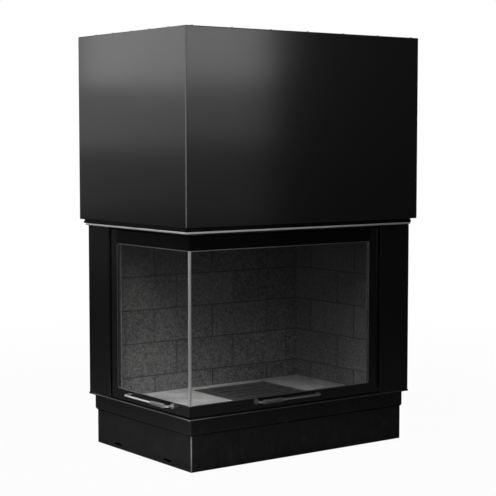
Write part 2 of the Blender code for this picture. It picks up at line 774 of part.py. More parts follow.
def top_plate(looks):
    """Closes the casing under its folded rim, with a flue hole and rows of slots for the warm air."""
    edge = CASING_SHEET + FOLD_CLEARANCE
    low = (LEFT + edge, FRONT + edge, ROOF_BOTTOM)
    plate = box("top_plate", low, (RIGHT - edge, BACK - edge, ROOF_TOP), looks["zinc"])
    ends = (ROOF_BOTTOM - CUT_OVERRUN, ROOF_TOP + CUT_OVERRUN)
    flue = circle_outline(FLUE_RADIUS + FLUE_HOLE_GAP, FLUE_SIDES, (0, 0))
    cuts = [prism("flue_cut", flue, along_z, *ends)]
    for share in AIR_SLOT_COLUMN_SHARES:
        for row in range(AIR_SLOT_ROWS):
            step = AIR_SLOT_INSET + row * AIR_SLOT_PITCH
            for y in (FRONT + step, BACK - step):
                shape = slot_outline(AIR_SLOT_LENGTH, AIR_SLOT_WIDTH, (LEFT + share * HOOD_WIDTH, y))
                cuts.append(prism("air_slot", shape, along_z, *ends))
    cut(plate, merged("top_plate_cuts", cuts))


def stacked(name, centre, levels, look):
    """A body of rounded rectangles in a row. Each level is width, depth, corner radius and height."""
    rings = []
    for width, depth, radius, z in levels:
        rings.append([Vector((x, y, z)) for x, y in rounded_rectangle(centre, width, depth, radius)])
    return skin(name, rings, look)


def grate_size():
    return GRATE_WIDTH - 2 * GRATE_CLEARANCE, GRATE_DEPTH - 2 * GRATE_CLEARANCE


def pan_flange():
    inset = 2 * (GRATE_WALL + PAN_CLEARANCE)
    return [size - inset for size in grate_size()]


def pan_opening():
    return [size - 2 * PAN_SEAT for size in pan_flange()]


def firebox_floor(looks):
    """The steel tray turned upside down that carries the hearth, open in its middle for the ash pan."""
    edge = CASING_SHEET + FOLD_CLEARANCE
    left, right = BAND_LEFT + edge, CASE_RIGHT - edge
    front, back = BAND_FRONT + edge, BACK - edge
    width, depth = right - left, back - front
    wall = FLOOR_PLATE
    bottom = BAND_BOTTOM + CASING_SHEET + FIT
    levels = (
        (width - 2 * wall, depth - 2 * wall, FLOOR_BEND - wall, FLOOR_TOP - wall),
        (width - 2 * wall, depth - 2 * wall, FLOOR_BEND - wall, bottom),
        (width, depth, FLOOR_BEND, bottom),
        (width, depth, FLOOR_BEND, FLOOR_TOP),
    )
    tray = stacked("firebox_floor", ((left + right) / 2, (front + back) / 2), levels, looks["steel"])
    opening = rounded_rectangle((GRATE_X, GRATE_Y), *pan_opening(), PAN_CORNER)
    ends = (FLOOR_TOP - wall - CUT_OVERRUN, FLOOR_TOP + CUT_OVERRUN)
    cut(tray, prism("pan_cut", opening, along_z, *ends))


def hearth_slab(looks):
    outer = (HEARTH_LEFT, HEARTH_FRONT, LINING_RIGHT - FIT, LINING_BACK - FIT)
    inner = (
        GRATE_X - GRATE_WIDTH / 2,
        GRATE_Y - GRATE_DEPTH / 2,
        GRATE_X + GRATE_WIDTH / 2,
        GRATE_Y + GRATE_DEPTH / 2,
    )
    plate_frame("hearth_slab", outer, inner, LINING_BOTTOM, HEARTH_TOP, HEARTH_EDGE, looks["hearth"])


def grate(looks):
    """A cast grate on a wall of its own, with long and short slots and a knob to lift it by."""
    width, depth = grate_size()
    inner_width, inner_depth = width - 2 * GRATE_WALL, depth - 2 * GRATE_WALL
    inner_corner = GRATE_CORNER - GRATE_WALL
    edge = 2 * GRATE_EDGE
    levels = (
        (inner_width, inner_depth, inner_corner, GRATE_TOP - GRATE_PLATE),
        (inner_width, inner_depth, inner_corner, LINING_BOTTOM),
        (width, depth, GRATE_CORNER, LINING_BOTTOM),
        (width, depth, GRATE_CORNER, GRATE_TOP - GRATE_EDGE),
        (width - edge, depth - edge, GRATE_CORNER - GRATE_EDGE, GRATE_TOP),
    )
    body = stacked("grate", (GRATE_X, GRATE_Y), levels, looks["iron"])
    left = GRATE_X - GRATE_WIDTH / 2 + GRATE_SLOT_START
    long_x = left + GRATE_SLOT_LENGTH / 2
    short_x = left + GRATE_SLOT_LENGTH + GRATE_SHORT_SLOT_GAP + GRATE_SHORT_SLOT_LENGTH / 2
    ends = (GRATE_TOP - GRATE_PLATE - CUT_OVERRUN, GRATE_TOP + CUT_OVERRUN)
    slots = []
    for row in range(GRATE_SLOT_COUNT):
        y = GRATE_Y + (row - (GRATE_SLOT_COUNT - 1) / 2) * GRATE_SLOT_PITCH
        for x, length in ((long_x, GRATE_SLOT_LENGTH), (short_x, GRATE_SHORT_SLOT_LENGTH)):
            slots.append(prism("slot", slot_outline(length, GRATE_SLOT_WIDTH, (x, y)), along_z, *ends))
    cut(body, merged("grate_slots", slots))
    knob_x = GRATE_X + (GRATE_KNOB_SHARES[0] - 0.5) * GRATE_WIDTH
    knob_y = GRATE_Y + (GRATE_KNOB_SHARES[1] - 0.5) * GRATE_DEPTH
    place = Vector((knob_x, knob_y, GRATE_TOP))
    root = -GRATE_PLATE / 2
    join(body, cylinder("knob", place, UP, GRATE_KNOB_RADIUS, root, GRATE_KNOB_HEIGHT, SMALL_SIDES))
    set_origin(body, Vector((GRATE_X, GRATE_Y, LINING_BOTTOM)))


def ash_pan(looks):
    """A pan with sloping walls that hangs by its flange from the floor plate, inside the grate's wall."""
    flange_width, flange_depth = pan_flange()
    width, depth = [size - 2 * RUNNING_CLEARANCE for size in pan_opening()]
    low = FLOOR_TOP + FIT
    bottom = low - PAN_DEPTH
    wall = PAN_SHEET
    slope = 2 * PAN_TAPER
    levels = (
        (width - slope, depth - slope, PAN_CORNER, bottom),
        (width, depth, PAN_CORNER, low),
        (flange_width, flange_depth, PAN_CORNER, low),
        (flange_width, flange_depth, PAN_CORNER, low + wall),
        (width - 2 * wall, depth - 2 * wall, PAN_CORNER - wall, low + wall),
        (width - slope - 2 * wall, depth - slope - 2 * wall, PAN_CORNER - wall, bottom + wall),
    )
    body = stacked("ash_pan", (GRATE_X, GRATE_Y), levels, looks["steel"])
    set_origin(body, Vector((GRATE_X, GRATE_Y, low)))


def course_levels(k):
    """The bottom and top of one brick course."""
    top = LINING_BOTTOM + BOTTOM_COURSE_HEIGHT + k * COURSE_PITCH
    bottom = LINING_BOTTOM if k == 0 else top - COURSE_PITCH + FIT
    return bottom, top


def brick_course(name, start, end, first_joint, place, levels, look):
    """A course of one wall with a V groove at each upright joint and a chamfer along its top and bottom.

    place(a, b, z) takes the distance from the firebox's inner corner and the depth into the wall.
    """
    joints = []
    joint = first_joint
    while joint < end - BRICK_JOINT_HALF_WIDTH:
        joints.append(joint)
        joint += BRICK_LENGTH
    bottom, top = levels
    faces = (
        (bottom, BRICK_CHAMFER),
        (bottom + BRICK_CHAMFER, 0),
        (top - BRICK_CHAMFER, 0),
        (top, BRICK_CHAMFER),
    )
    rings = []
    for z, face in faces:
        ring = [place(start, BRICK_DEPTH, z), place(start, face, z)]
        for joint in joints:
            ring.append(place(joint - BRICK_JOINT_HALF_WIDTH, face, z))
            ring.append(place(joint, BRICK_JOINT_DEPTH, z))
            ring.append(place(joint + BRICK_JOINT_HALF_WIDTH, face, z))
        rings.append(ring + [place(end, face, z), place(end, BRICK_DEPTH, z)])
    skin(name, rings, look)


def lining(looks):
    """Five courses on the back and five on the right side, their upright joints staggered."""

    def back_place(a, b, z):
        return Vector((LINING_RIGHT - a, LINING_BACK + b, z))

    def right_place(a, b, z):
        return Vector((LINING_RIGHT + b, LINING_BACK - a, z))

    walls = (
        ("back", FIT, LINING_RIGHT - SHELL_LEFT, BACK_FIRST_BRICKS, back_place),
        ("right", -BRICK_DEPTH, LINING_BACK - HEARTH_FRONT, RIGHT_FIRST_BRICKS, right_place),
    )
    for label, start, end, first_bricks, place in walls:
        for k in range(COURSE_COUNT):
            name = f"brick_course_{label}_{k + 1}"
            brick_course(name, start, end, first_bricks[k % 2], place, course_levels(k), looks["brick"])


def firebox_shell(looks):
    top = DOME_BASE - FIT
    back_low = (SHELL_LEFT, SHELL_BACK, LINING_BOTTOM)
    box("shell_back", back_low, (SHELL_RIGHT - FIT, DOME_BACK, top), looks["steel"])
    right_low = (SHELL_RIGHT, HEARTH_FRONT, LINING_BOTTOM)
    box("shell_right", right_low, (DOME_RIGHT, DOME_BACK, top), looks["steel"])


def baffle(looks):
    """The loose plate over the fire. It lies on the lining and, by a rebate, on the left dome plate."""
    bottom = LINING_TOP + FIT
    rebate = LINTEL_BOTTOM + DOME_PLATE + FIT
    top = bottom + BAFFLE_THICKNESS
    step = SHELL_LEFT + BAFFLE_REBATE
    end = SHELL_RIGHT - FIT
    outline = [
        (SHELL_LEFT, rebate),
        (step, rebate),
        (step, bottom),
        (end, bottom),
        (end, top),
        (SHELL_LEFT, top),
    ]
    front = DOME_FRONT + BAFFLE_THROAT
    bevel(prism("baffle", outline, along_y, front, SHELL_BACK - FIT, looks["brick"]), BAFFLE_EDGE)


def dome_corner(z, depth, to_right, to_back):
    """A point on one of the dome's four mitre lines, at a height and at a depth into both plates."""
    share = max(0, (z - DOME_BASE) / (DOME_TOP - DOME_BASE))
    half = DOME_TOP_SIDE / 2
    x_low, x_sign = (DOME_RIGHT, 1) if to_right else (DOME_LEFT, -1)
    y_low, y_sign = (DOME_BACK, 1) if to_back else (DOME_FRONT, -1)
    x = x_low + (x_sign * half - x_low) * share - x_sign * depth
    y = y_low + (y_sign * half - y_low) * share - y_sign * depth
    return Vector((x, y, z))


def dome_plate(name, outline, near, far, look):
    run = dome_corner(DOME_BASE, 0, *far) - dome_corner(DOME_BASE, 0, *near)
    shift = run.normalized() * (FIT / math.sqrt(2))
    rings = []
    for corner, sign in ((near, 1), (far, -1)):
        rings.append([dome_corner(z, depth, *corner) + shift * sign for z, depth in outline])
    skin(name, rings, look)


def smoke_dome(looks):
    """Four mitred plates that draw in to the flue. The front and left ones reach down behind the door."""
    wall = DOME_PLATE
    low = LINTEL_BOTTOM
    sloped = [(DOME_TOP, 0), (DOME_BASE, 0), (DOME_BASE, wall), (DOME_TOP, wall)]
    front = [(DOME_TOP, 0), (DOME_BASE, 0), (low, 0), (low, wall), (DOME_BASE, wall), (DOME_TOP, wall)]
    left = [
        (DOME_TOP, 0),
        (DOME_BASE, 0),
        (low, 0),
        (low, LINTEL_FLANGE),
        (low + wall, LINTEL_FLANGE),
        (low + wall, wall),
        (DOME_BASE, wall),
        (DOME_TOP, wall),
    ]
    dome_plate("smoke_dome_front", front, (False, False), (True, False), looks["steel"])
    dome_plate("smoke_dome_right", sloped, (True, False), (True, True), looks["steel"])
    dome_plate("smoke_dome_back", sloped, (True, True), (False, True), looks["steel"])
    dome_plate("smoke_dome_left", left, (False, True), (False, False), looks["steel"])


def flue_collar(looks):
    bottom = DOME_TOP + FIT
    half = DOME_TOP_SIDE / 2
    top = bottom + COLLAR_FLANGE
    collar = box("flue_collar", (-half, -half, bottom), (half, half, top), looks["steel"])
    centre = Vector((0, 0, bottom))
    height = HOOD_TOP + FLUE_RISE - bottom
    join(collar, cylinder("spigot", centre, UP, FLUE_RADIUS, COLLAR_FLANGE / 2, height, FLUE_SIDES))
    bore = FLUE_RADIUS - FLUE_WALL
    cut(collar, cylinder("bore", centre, UP, bore, -CUT_OVERRUN, height + CUT_OVERRUN, FLUE_SIDES))
    smooth(collar)


def door_rails(label, run, look):
    """The bottom and top channels of one side of the door, mitred at the glass corner."""
    bottom_line = [
        (0, SIGHT_BOTTOM),
        (0, DOOR_BOTTOM),
        (DOOR_SECTION, DOOR_BOTTOM),
        (DOOR_SECTION, DOOR_BOTTOM + DOOR_BACK_LEG),
    ]
    top_line = [
        (DOOR_SECTION, DOOR_TOP - DOOR_BACK_LEG),
        (DOOR_SECTION, DOOR_TOP),
        (0, DOOR_TOP),
        (0, SIGHT_TOP),
    ]
    end = run.length - DOOR_STILE - FIT
    gap = FIT / math.sqrt(2)
    made = []
    for name, line in (("rail_bottom", bottom_line), ("rail_top", top_line)):
        outline = folded(line, DOOR_SHEET, CASING_BEND)
        rings = [
            [run.at(d + gap, d, z) for d, z in outline],
            [run.at(end, d, z) for d, z in outline],
        ]
        made.append(skin(f"{name}_{label}", rings, look))
    return made


def door_stile(name, run, look):
    line = [
        (run.length - DOOR_STILE, 0),
        (run.length, 0),
        (run.length, DOOR_SECTION),
        (run.length - DOOR_BACK_LEG, DOOR_SECTION),
    ]
    return prism(name, folded(line, DOOR_SHEET, STILE_BEND), run.at, DOOR_BOTTOM, DOOR_TOP, look)


def glass_pane(name, run, look):
    start = CORNER_STRIP + FIT
    end = run.length - DOOR_STILE + GLASS_LAP
    back = GLASS_DEPTH + GLASS_THICKNESS
    outline = [(start, GLASS_DEPTH), (end, GLASS_DEPTH), (end, back), (start, back)]
    return prism(name, outline, run.at, SIGHT_BOTTOM - GLASS_LAP, SIGHT_TOP + GLASS_LAP, look)


def glass_corner_joint(looks):
    """The bright bar between the panes, standing on the bottom rails' mitre."""
    half = CORNER_STRIP / 2
    outline = rounded_rectangle((half, half), CORNER_STRIP, CORNER_STRIP, CORNER_STRIP_EDGE)
    bottom, top = SIGHT_BOTTOM + FIT, SIGHT_TOP - FIT
    return prism("glass_corner_joint", outline, FRONT_RUN.at, bottom, top, looks["bright"])


def bent_rod(line, radius):
    """The centre line of a rod bent twice at right angles."""
    points = [line[0]]
    for i in (1, 2):
        corner = Vector(line[i])
        before = (Vector(line[i - 1]) - corner).normalized()
        after = (Vector(line[i + 1]) - corner).normalized()
        for k in range(ARC_STEPS + 1):
            angle = math.pi / 2 * k / ARC_STEPS
            bent = before * (1 - math.sin(angle)) + after * (1 - math.cos(angle))
            points.append(tuple(corner + bent * radius))
    points.append(line[-1])
    return points


def handle(label, run, looks):
    """A bent rod from a rosette near the glass corner that turns back to the rail at its far end."""
    z = DOOR_BOTTOM + HANDLE_RISE
    out = -HANDLE_STANDOFF
    end = run.handle_start + HANDLE_LENGTH
    line = [
        (run.handle_start, -FIT - ROSETTE_THICKNESS / 2),
        (run.handle_start, out),
        (end, out),
        (end, -FIT),
    ]
    path = [run.at(s, d, z) for s, d in bent_rod(line, HANDLE_BEND)]
    rod = tube_mesh(f"handle_bar_{label}", path, HANDLE_ROD_RADIUS, looks["bright"])
    foot = run.at(run.handle_start, -FIT, z)
    profile = [(ROSETTE_RADIUS, 0), (ROSETTE_RADIUS, ROSETTE_THICKNESS)]
    join(rod, turned_solid(f"rosette_{label}", profile, foot, -run.inward, ROUND_SIDES))
    bore = HANDLE_ROD_RADIUS + FIT
    profile = [
        (bore, 0),
        (GRIP_RADIUS - GRIP_ROUNDING, 0),
        (GRIP_RADIUS, GRIP_ROUNDING),
        (GRIP_RADIUS, GRIP_LENGTH - GRIP_ROUNDING),
        (GRIP_RADIUS - GRIP_ROUNDING, GRIP_LENGTH),
        (bore, GRIP_LENGTH),
    ]
    start = run.at(run.handle_start + GRIP_START, out, z)
    grip = turned_ring(f"handle_grip_{label}", profile, start, run.along, SMALL_SIDES, looks["bright"])
    return [rod, grip]


def carriage(name, run, looks):
    """The plate that joins a stile to its guide by two shoes, with a cable socket on top."""
    bottom, top = DOOR_BOTTOM + CARRIAGE_FOOT, DOOR_TOP - CARRIAGE_FOOT
    start, end = run.plate_start, run.plate_end - SHOE_LEAD

    def place(s, z, d):
        return run.at(s, d, z)

    middle = ((start + end) / 2, (bottom + top) / 2)
    outline = rounded_rectangle(middle, end - start, top - bottom, CARRIAGE_CORNER)
    plate = prism(name, outline, place, PLATE_DEPTH, PLATE_DEPTH + CARRIAGE_PLATE, looks["zinc"])
    left = run.length + CARRIAGE_BAR / 2
    right = end - SHOE_DEPTH - CARRIAGE_BAR / 2
    height = (top - bottom - (CARRIAGE_WINDOWS + 1) * CARRIAGE_BAR) / CARRIAGE_WINDOWS
    ends = (PLATE_DEPTH - CUT_OVERRUN, PLATE_DEPTH + CARRIAGE_PLATE + CUT_OVERRUN)
    windows = []
    for k in range(CARRIAGE_WINDOWS):
        z = bottom + CARRIAGE_BAR + height / 2 + k * (height + CARRIAGE_BAR)
        shape = rounded_rectangle(((left + right) / 2, z), right - left, height, CARRIAGE_CORNER)
        windows.append(prism("window", shape, place, *ends))
    cut(plate, merged(f"{name}_windows", windows))
    half = GUIDE_INNER_WIDTH / 2 - RUNNING_CLEARANCE
    inside = run.plate_end - SHOE_DEPTH
    near, far = PLATE_MIDDLE - half, PLATE_MIDDLE + half
    shoe = [(inside, near), (run.plate_end, near), (run.plate_end, far), (inside, far)]
    for k, low in enumerate((bottom + SHOE_LEAD, top - SHOE_LEAD - SHOE_LENGTH)):
        join(plate, prism(f"{name}_shoe_{k + 1}", shoe, run.at, low, low + SHOE_LENGTH))
    socket = run.at(run.cable, PLATE_MIDDLE, top)
    reach = CARRIAGE_BAR / 2
    join(plate, cylinder(f"{name}_socket", socket, UP, SOCKET_RADIUS, -reach, SOCKET_HEIGHT, SMALL_SIDES))
    return plate


def guide_rail(name, run, looks):
    """A channel that stands on the ledge, open toward the door, with the carriage's shoes inside it."""
    half = GUIDE_INNER_WIDTH / 2 + GUIDE_SHEET
    mouth = run.guide_web - GUIDE_DEPTH
    line = [
        (mouth, PLATE_MIDDLE - half),
        (run.guide_web, PLATE_MIDDLE - half),
        (run.guide_web, PLATE_MIDDLE + half),
        (mouth, PLATE_MIDDLE + half),
    ]
    prism(name, folded(line, GUIDE_SHEET, GUIDE_BEND), run.at, COVER_BOTTOM, GUIDE_TOP, looks["zinc"])


def pulley_centre(run):
    return run.at(run.cable, PLATE_MIDDLE + PULLEY_RADIUS, PULLEY_Z)


def pulley(name, run, looks):
    """A grooved wheel on a thin web with round holes."""
    half = PULLEY_WIDTH / 2
    web = PULLEY_WEB / 2
    bore = AXLE_RADIUS + PIN_CLEARANCE
    rim_inside = PULLEY_RADIUS - PULLEY_RIM_DEPTH
    rim_outside = PULLEY_RADIUS + PULLEY_RIM
    one_side = [
        (bore, half),
        (PULLEY_HUB_RADIUS, half),
        (PULLEY_HUB_RADIUS, web),
        (rim_inside, web),
        (rim_inside, half),
        (rim_outside, half),
        (rim_outside, half - PULLEY_RIM_LIP),
        (PULLEY_RADIUS - CABLE_RADIUS - FIT, CABLE_RADIUS),
    ]
    profile = one_side + [(r, -h) for r, h in reversed(one_side)]
    centre = pulley_centre(run)
    wheel = turned_ring(name, profile, centre, run.along, ROUND_SIDES, looks["iron"])
    reach = web + CUT_OVERRUN
    holes = []
    for spoke in spokes_of(run.along, PULLEY_HOLES):
        place = centre + spoke * (PULLEY_HUB_RADIUS + rim_inside) / 2
        holes.append(cylinder("hole", place, run.along, PULLEY_HOLE_RADIUS, -reach, reach, SMALL_SIDES))
    cut(wheel, merged(f"{name}_holes", holes))
    set_origin(wheel, centre)


def pulley_bracket(name, run, looks):
    """A folded fork under the top plate with the pulley's pin through its cheeks."""
    half = PULLEY_WIDTH / 2 + RUNNING_CLEARANCE + BRACKET_SHEET
    top = ROOF_BOTTOM - FIT
    low = PULLEY_Z - BRACKET_WIDTH / 2
    line = [(half, low), (half, top), (-half, top), (-half, low)]
    middle = PLATE_MIDDLE + PULLEY_RADIUS

    def place(a, z, d):
        return run.at(run.cable + a, d, z)

    ends = (middle - BRACKET_WIDTH / 2, middle + BRACKET_WIDTH / 2)
    fork = prism(name, folded(line, BRACKET_SHEET, BRACKET_BEND), place, *ends, looks["zinc"])
    reach = half + AXLE_HEAD
    profile = [
        (AXLE_HEAD_RADIUS, -reach),
        (AXLE_HEAD_RADIUS, -half),
        (AXLE_RADIUS, -half),
        (AXLE_RADIUS, half),
        (AXLE_HEAD_RADIUS, half),
        (AXLE_HEAD_RADIUS, reach),
    ]
    join(fork, turned_solid(f"{name}_pin", profile, pulley_centre(run), run.along, ROUND_SIDES))


def counterweight(name, run, looks):
    """An iron block with chamfered edges and a socket for the cable in its top."""
    s, d = run.cable, PLATE_MIDDLE + 2 * PULLEY_RADIUS
    half_s, half_d = WEIGHT_WIDTH / 2, WEIGHT_DEPTH / 2
    outline = [
        (s - half_s, d - half_d),
        (s + half_s, d - half_d),
        (s + half_s, d + half_d),
        (s - half_s, d + half_d),
    ]
    weight = prism(name, outline, run.at, WEIGHT_TOP - WEIGHT_LENGTH, WEIGHT_TOP, looks["iron"])
    bevel(weight, WEIGHT_EDGE)
    origin = run.at(s, d, WEIGHT_TOP)
    reach = SOCKET_HEIGHT
    join(weight, cylinder(f"{name}_socket", origin, UP, SOCKET_RADIUS, -reach, reach, SMALL_SIDES))
    set_origin(weight, origin)


def straight_points(run, d, low, high):
    count = max(1, round((high - low) / CABLE_POINT_SPACING))
    return [run.at(run.cable, d, low + (high - low) * k / count) for k in range(count)]


def cable(name, run, looks):
    """One cable from the carriage's socket up over the pulley and down to the counterweight's socket."""
    door_end = DOOR_TOP - CARRIAGE_FOOT + SOCKET_HEIGHT + FIT
    weight_end = WEIGHT_TOP + SOCKET_HEIGHT + FIT
    far = PLATE_MIDDLE + 2 * PULLEY_RADIUS
    points = straight_points(run, PLATE_MIDDLE, door_end, PULLEY_Z)
    for k in range(CABLE_ARC_STEPS + 1):
        angle = math.pi * k / CABLE_ARC_STEPS
        d = PLATE_MIDDLE + PULLEY_RADIUS * (1 - math.cos(angle))
        points.append(run.at(run.cable, d, PULLEY_Z + PULLEY_RADIUS * math.sin(angle)))
    points += straight_points(run, far, weight_end, PULLEY_Z)[::-1]
    tube(name, points, CABLE_RADIUS, looks["bright"])


def door(looks):
    """Everything that rises with the door, carried by one empty at the glass corner's foot."""
    pieces = [glass_corner_joint(looks)]
    for label, run in (("front", FRONT_RUN), ("side", SIDE_RUN)):
        pieces += door_rails(label, run, looks["frame"])
        pieces.append(glass_pane(f"glass_{label}", run, looks["glass"]))
        pieces += handle(label, run, looks)
    for label, run in (("right", FRONT_RUN), ("left", SIDE_RUN)):
        pieces.append(door_stile(f"stile_{label}", run, looks["frame"]))
        pieces.append(carriage(f"carriage_{label}", run, looks))
    carried_by("door_lift", FRONT_RUN.at(0, 0, DOOR_BOTTOM), pieces)


def lift_gear(looks):
    for label, run in (("right", FRONT_RUN), ("left", SIDE_RUN)):
        guide_rail(f"guide_rail_{label}", run, looks)
        pulley_bracket(f"pulley_bracket_{label}", run, looks)
        pulley(f"pulley_{label}", run, looks)
        counterweight(f"counterweight_{label}", run, looks)
        cable(f"cable_{label}", run, looks)


def main():
    clear_scene()
    looks = part_materials()
    plinth_base(looks)
    plinth_band(looks)
    sill_ledge(looks)
    firebox_floor(looks)
    hearth_slab(looks)
    grate(looks)
    ash_pan(looks)
    lining(looks)
    firebox_shell(looks)
    baffle(looks)
    smoke_dome(looks)
    flue_collar(looks)
    side_covers(looks)
    hood(looks)
    lip(looks)
    top_plate(looks)
    door(looks)
    lift_gear(looks)


main()
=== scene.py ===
"""Dresses a packed corner fireplace insert: its finishes, small parts, and the studio around it."""

import math

import bmesh
import bpy
from bpy.props import FloatProperty, FloatVectorProperty, IntProperty, PointerProperty
from bpy.types import Operator, Panel, PropertyGroup
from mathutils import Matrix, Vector


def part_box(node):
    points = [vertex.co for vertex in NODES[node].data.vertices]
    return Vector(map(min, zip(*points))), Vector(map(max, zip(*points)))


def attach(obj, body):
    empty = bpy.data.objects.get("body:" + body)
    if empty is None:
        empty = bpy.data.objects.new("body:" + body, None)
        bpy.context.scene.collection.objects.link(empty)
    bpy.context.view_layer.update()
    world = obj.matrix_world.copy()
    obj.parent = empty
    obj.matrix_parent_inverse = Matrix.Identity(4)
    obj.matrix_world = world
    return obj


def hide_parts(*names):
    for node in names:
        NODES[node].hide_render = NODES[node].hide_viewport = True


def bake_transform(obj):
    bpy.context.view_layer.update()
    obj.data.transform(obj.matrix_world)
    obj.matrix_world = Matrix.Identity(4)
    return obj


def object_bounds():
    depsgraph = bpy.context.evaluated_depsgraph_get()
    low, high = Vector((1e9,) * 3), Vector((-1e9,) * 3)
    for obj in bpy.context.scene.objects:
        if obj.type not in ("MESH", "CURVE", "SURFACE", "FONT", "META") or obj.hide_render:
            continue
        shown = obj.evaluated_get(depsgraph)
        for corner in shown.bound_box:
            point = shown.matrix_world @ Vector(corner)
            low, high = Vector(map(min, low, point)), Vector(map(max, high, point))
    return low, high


bl_info = {
    "name": "Corner Fireplace Insert",
    "version": (1, 0, 0),
    "blender": (4, 5, 0),
    "location": "3D View > Sidebar > Fireplace",
    "description": "Finishes and details a corner fireplace insert with a lifting glass door",
    "category": "Object",
}

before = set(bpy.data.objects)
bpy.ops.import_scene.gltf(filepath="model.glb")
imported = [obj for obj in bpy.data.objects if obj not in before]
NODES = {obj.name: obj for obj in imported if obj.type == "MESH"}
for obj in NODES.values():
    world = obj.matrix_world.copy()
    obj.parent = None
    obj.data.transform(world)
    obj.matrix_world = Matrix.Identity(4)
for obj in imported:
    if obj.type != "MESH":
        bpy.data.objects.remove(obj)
CAD_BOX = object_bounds()

# Groups of nodes that share a finish
CASING_NODES = ("hood_front", "hood_left", "hood_right", "hood_back")
LINTEL_NODES = ("lip_rail", "rail_top_front", "rail_top_side")
FRAME_NODES = (
    "pilaster_left",
    "pilaster_right",
    "sill_ledge",
    "rail_bottom_front",
    "rail_bottom_side",
    "stile_left",
    "stile_right",
)
PLATE_NODES = (
    "firebox_floor",
    "ash_pan",
    "shell_back",
    "shell_right",
    "smoke_dome_front",
    "smoke_dome_left",
    "smoke_dome_right",
    "smoke_dome_back",
    "flue_collar",
)
ZINC_NODES = (
    "top_plate",
    "back_panel",
    "carriage_left",
    "carriage_right",
    "guide_rail_left",
    "guide_rail_right",
    "pulley_bracket_left",
    "pulley_bracket_right",
)
IRON_NODES = ("grate", "counterweight_left", "counterweight_right", "pulley_left", "pulley_right")
BACK_BRICKS = tuple(f"brick_course_back_{row}" for row in range(1, 6))
RIGHT_BRICKS = tuple(f"brick_course_right_{row}" for row in range(1, 6))

# The bond: a brick with its joint, and the uneven and even courses' first joints from the corner
BRICK_LENGTH = 0.249
BACK_JOINTS = (0.147, 0.053)
RIGHT_JOINTS = (0.087, 0.242)

# Places taken from the frame
CASE_LOW, CASE_HIGH = Vector(CAD_BOX[0]), Vector(CAD_BOX[1])
HOOD_LOW, HOOD_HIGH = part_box("hood_back")
LEDGE_LOW, LEDGE_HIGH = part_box("sill_ledge")
ROOF_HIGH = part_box("top_plate")[1]
BACK_LOW, BACK_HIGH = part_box("back_panel")
COVER_LOW, COVER_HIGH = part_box("pilaster_right")
SKIRT_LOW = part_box("smoke_dome_front")[0]
RIGHT_STILE_LOW, RIGHT_STILE_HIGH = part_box("stile_right")
LEFT_STILE_LOW, LEFT_STILE_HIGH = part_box("stile_left")

X_WAY = Vector((1, 0, 0))
Y_WAY = Vector((0, 1, 0))
Z_WAY = Vector((0, 0, 1))

# What keeps a small part clear of the face under it
HAIR = 0.0001

# Screws, from the edges and the ends of their sheets
BACK_EDGE = 0.011
BACK_END = 0.020
HOOD_FOOT = 0.012
HOOD_HEAD = 0.025
HOOD_END = 0.020
SIDE_EDGE = 0.012
SIDE_END = 0.030
RIM_EDGE = 0.009
RIM_END = 0.030
RIM_SIDE_END = 0.110
CARRIAGE_END = 0.028

# Half the distance between the two screws over a pulley bracket
BRACKET_REACH = 0.010

# From the back of a stile to the back of the plate of its carriage
CARRIAGE_BACK = 0.0033

# Rope seals: in from the ledge's edges, above the dome's foot, and short of the carriages
SILL_SEAL_EDGE = 0.0115
LINTEL_SEAL_RISE = 0.014
LINTEL_SEAL_END = 0.006
SEAL_BEND = 0.008

# Sections of a cable's half turn over its pulley
PULLEY_STEPS = 24

# Beads: their radii, the bends at their corners, and how far the sill's ends are held back
GLAZING_BEAD = 0.0013
GLAZING_BEND = 0.009
SILL_BEAD = 0.0014
SILL_BEND = 0.003
SILL_BEAD_END = 0.020
PLINTH_BEAD = 0.0022
PLINTH_BEND = 0.004

# Painted shade on the lining starts this far over the hearth and darkens it upwards
PAINTED_SHADE_START = 0.06

# The white backdrop hangs behind the object as the camera sees it
BACKDROP_WAY = (0.593, 0.801, 0.0)
WHITE = (1.0, 1.0, 1.0, 1.0)
FLOOR_GREY = (0.35, 0.35, 0.35, 1.0)
FLOOR_HALF = 12.0

# The floor's white fades out this far inside the plinth's outline, so that no slot shows it
WHITE_INSET = 0.004

# The floor's white is a little dimmer up to NEAR from the origin, and full from FAR on
NEAR_SHARE = 0.97
NEAR, FAR = 1.2, 4.0

# In gloss, the floor turns white between these distances behind the object
GLOSS_NEAR, GLOSS_FAR = 5.0, 8.0

# The camera's sensor in millimetres, and the beam that a lamp's grid leaves
SENSOR_WIDTH = 36.0
GRID = math.radians(24)

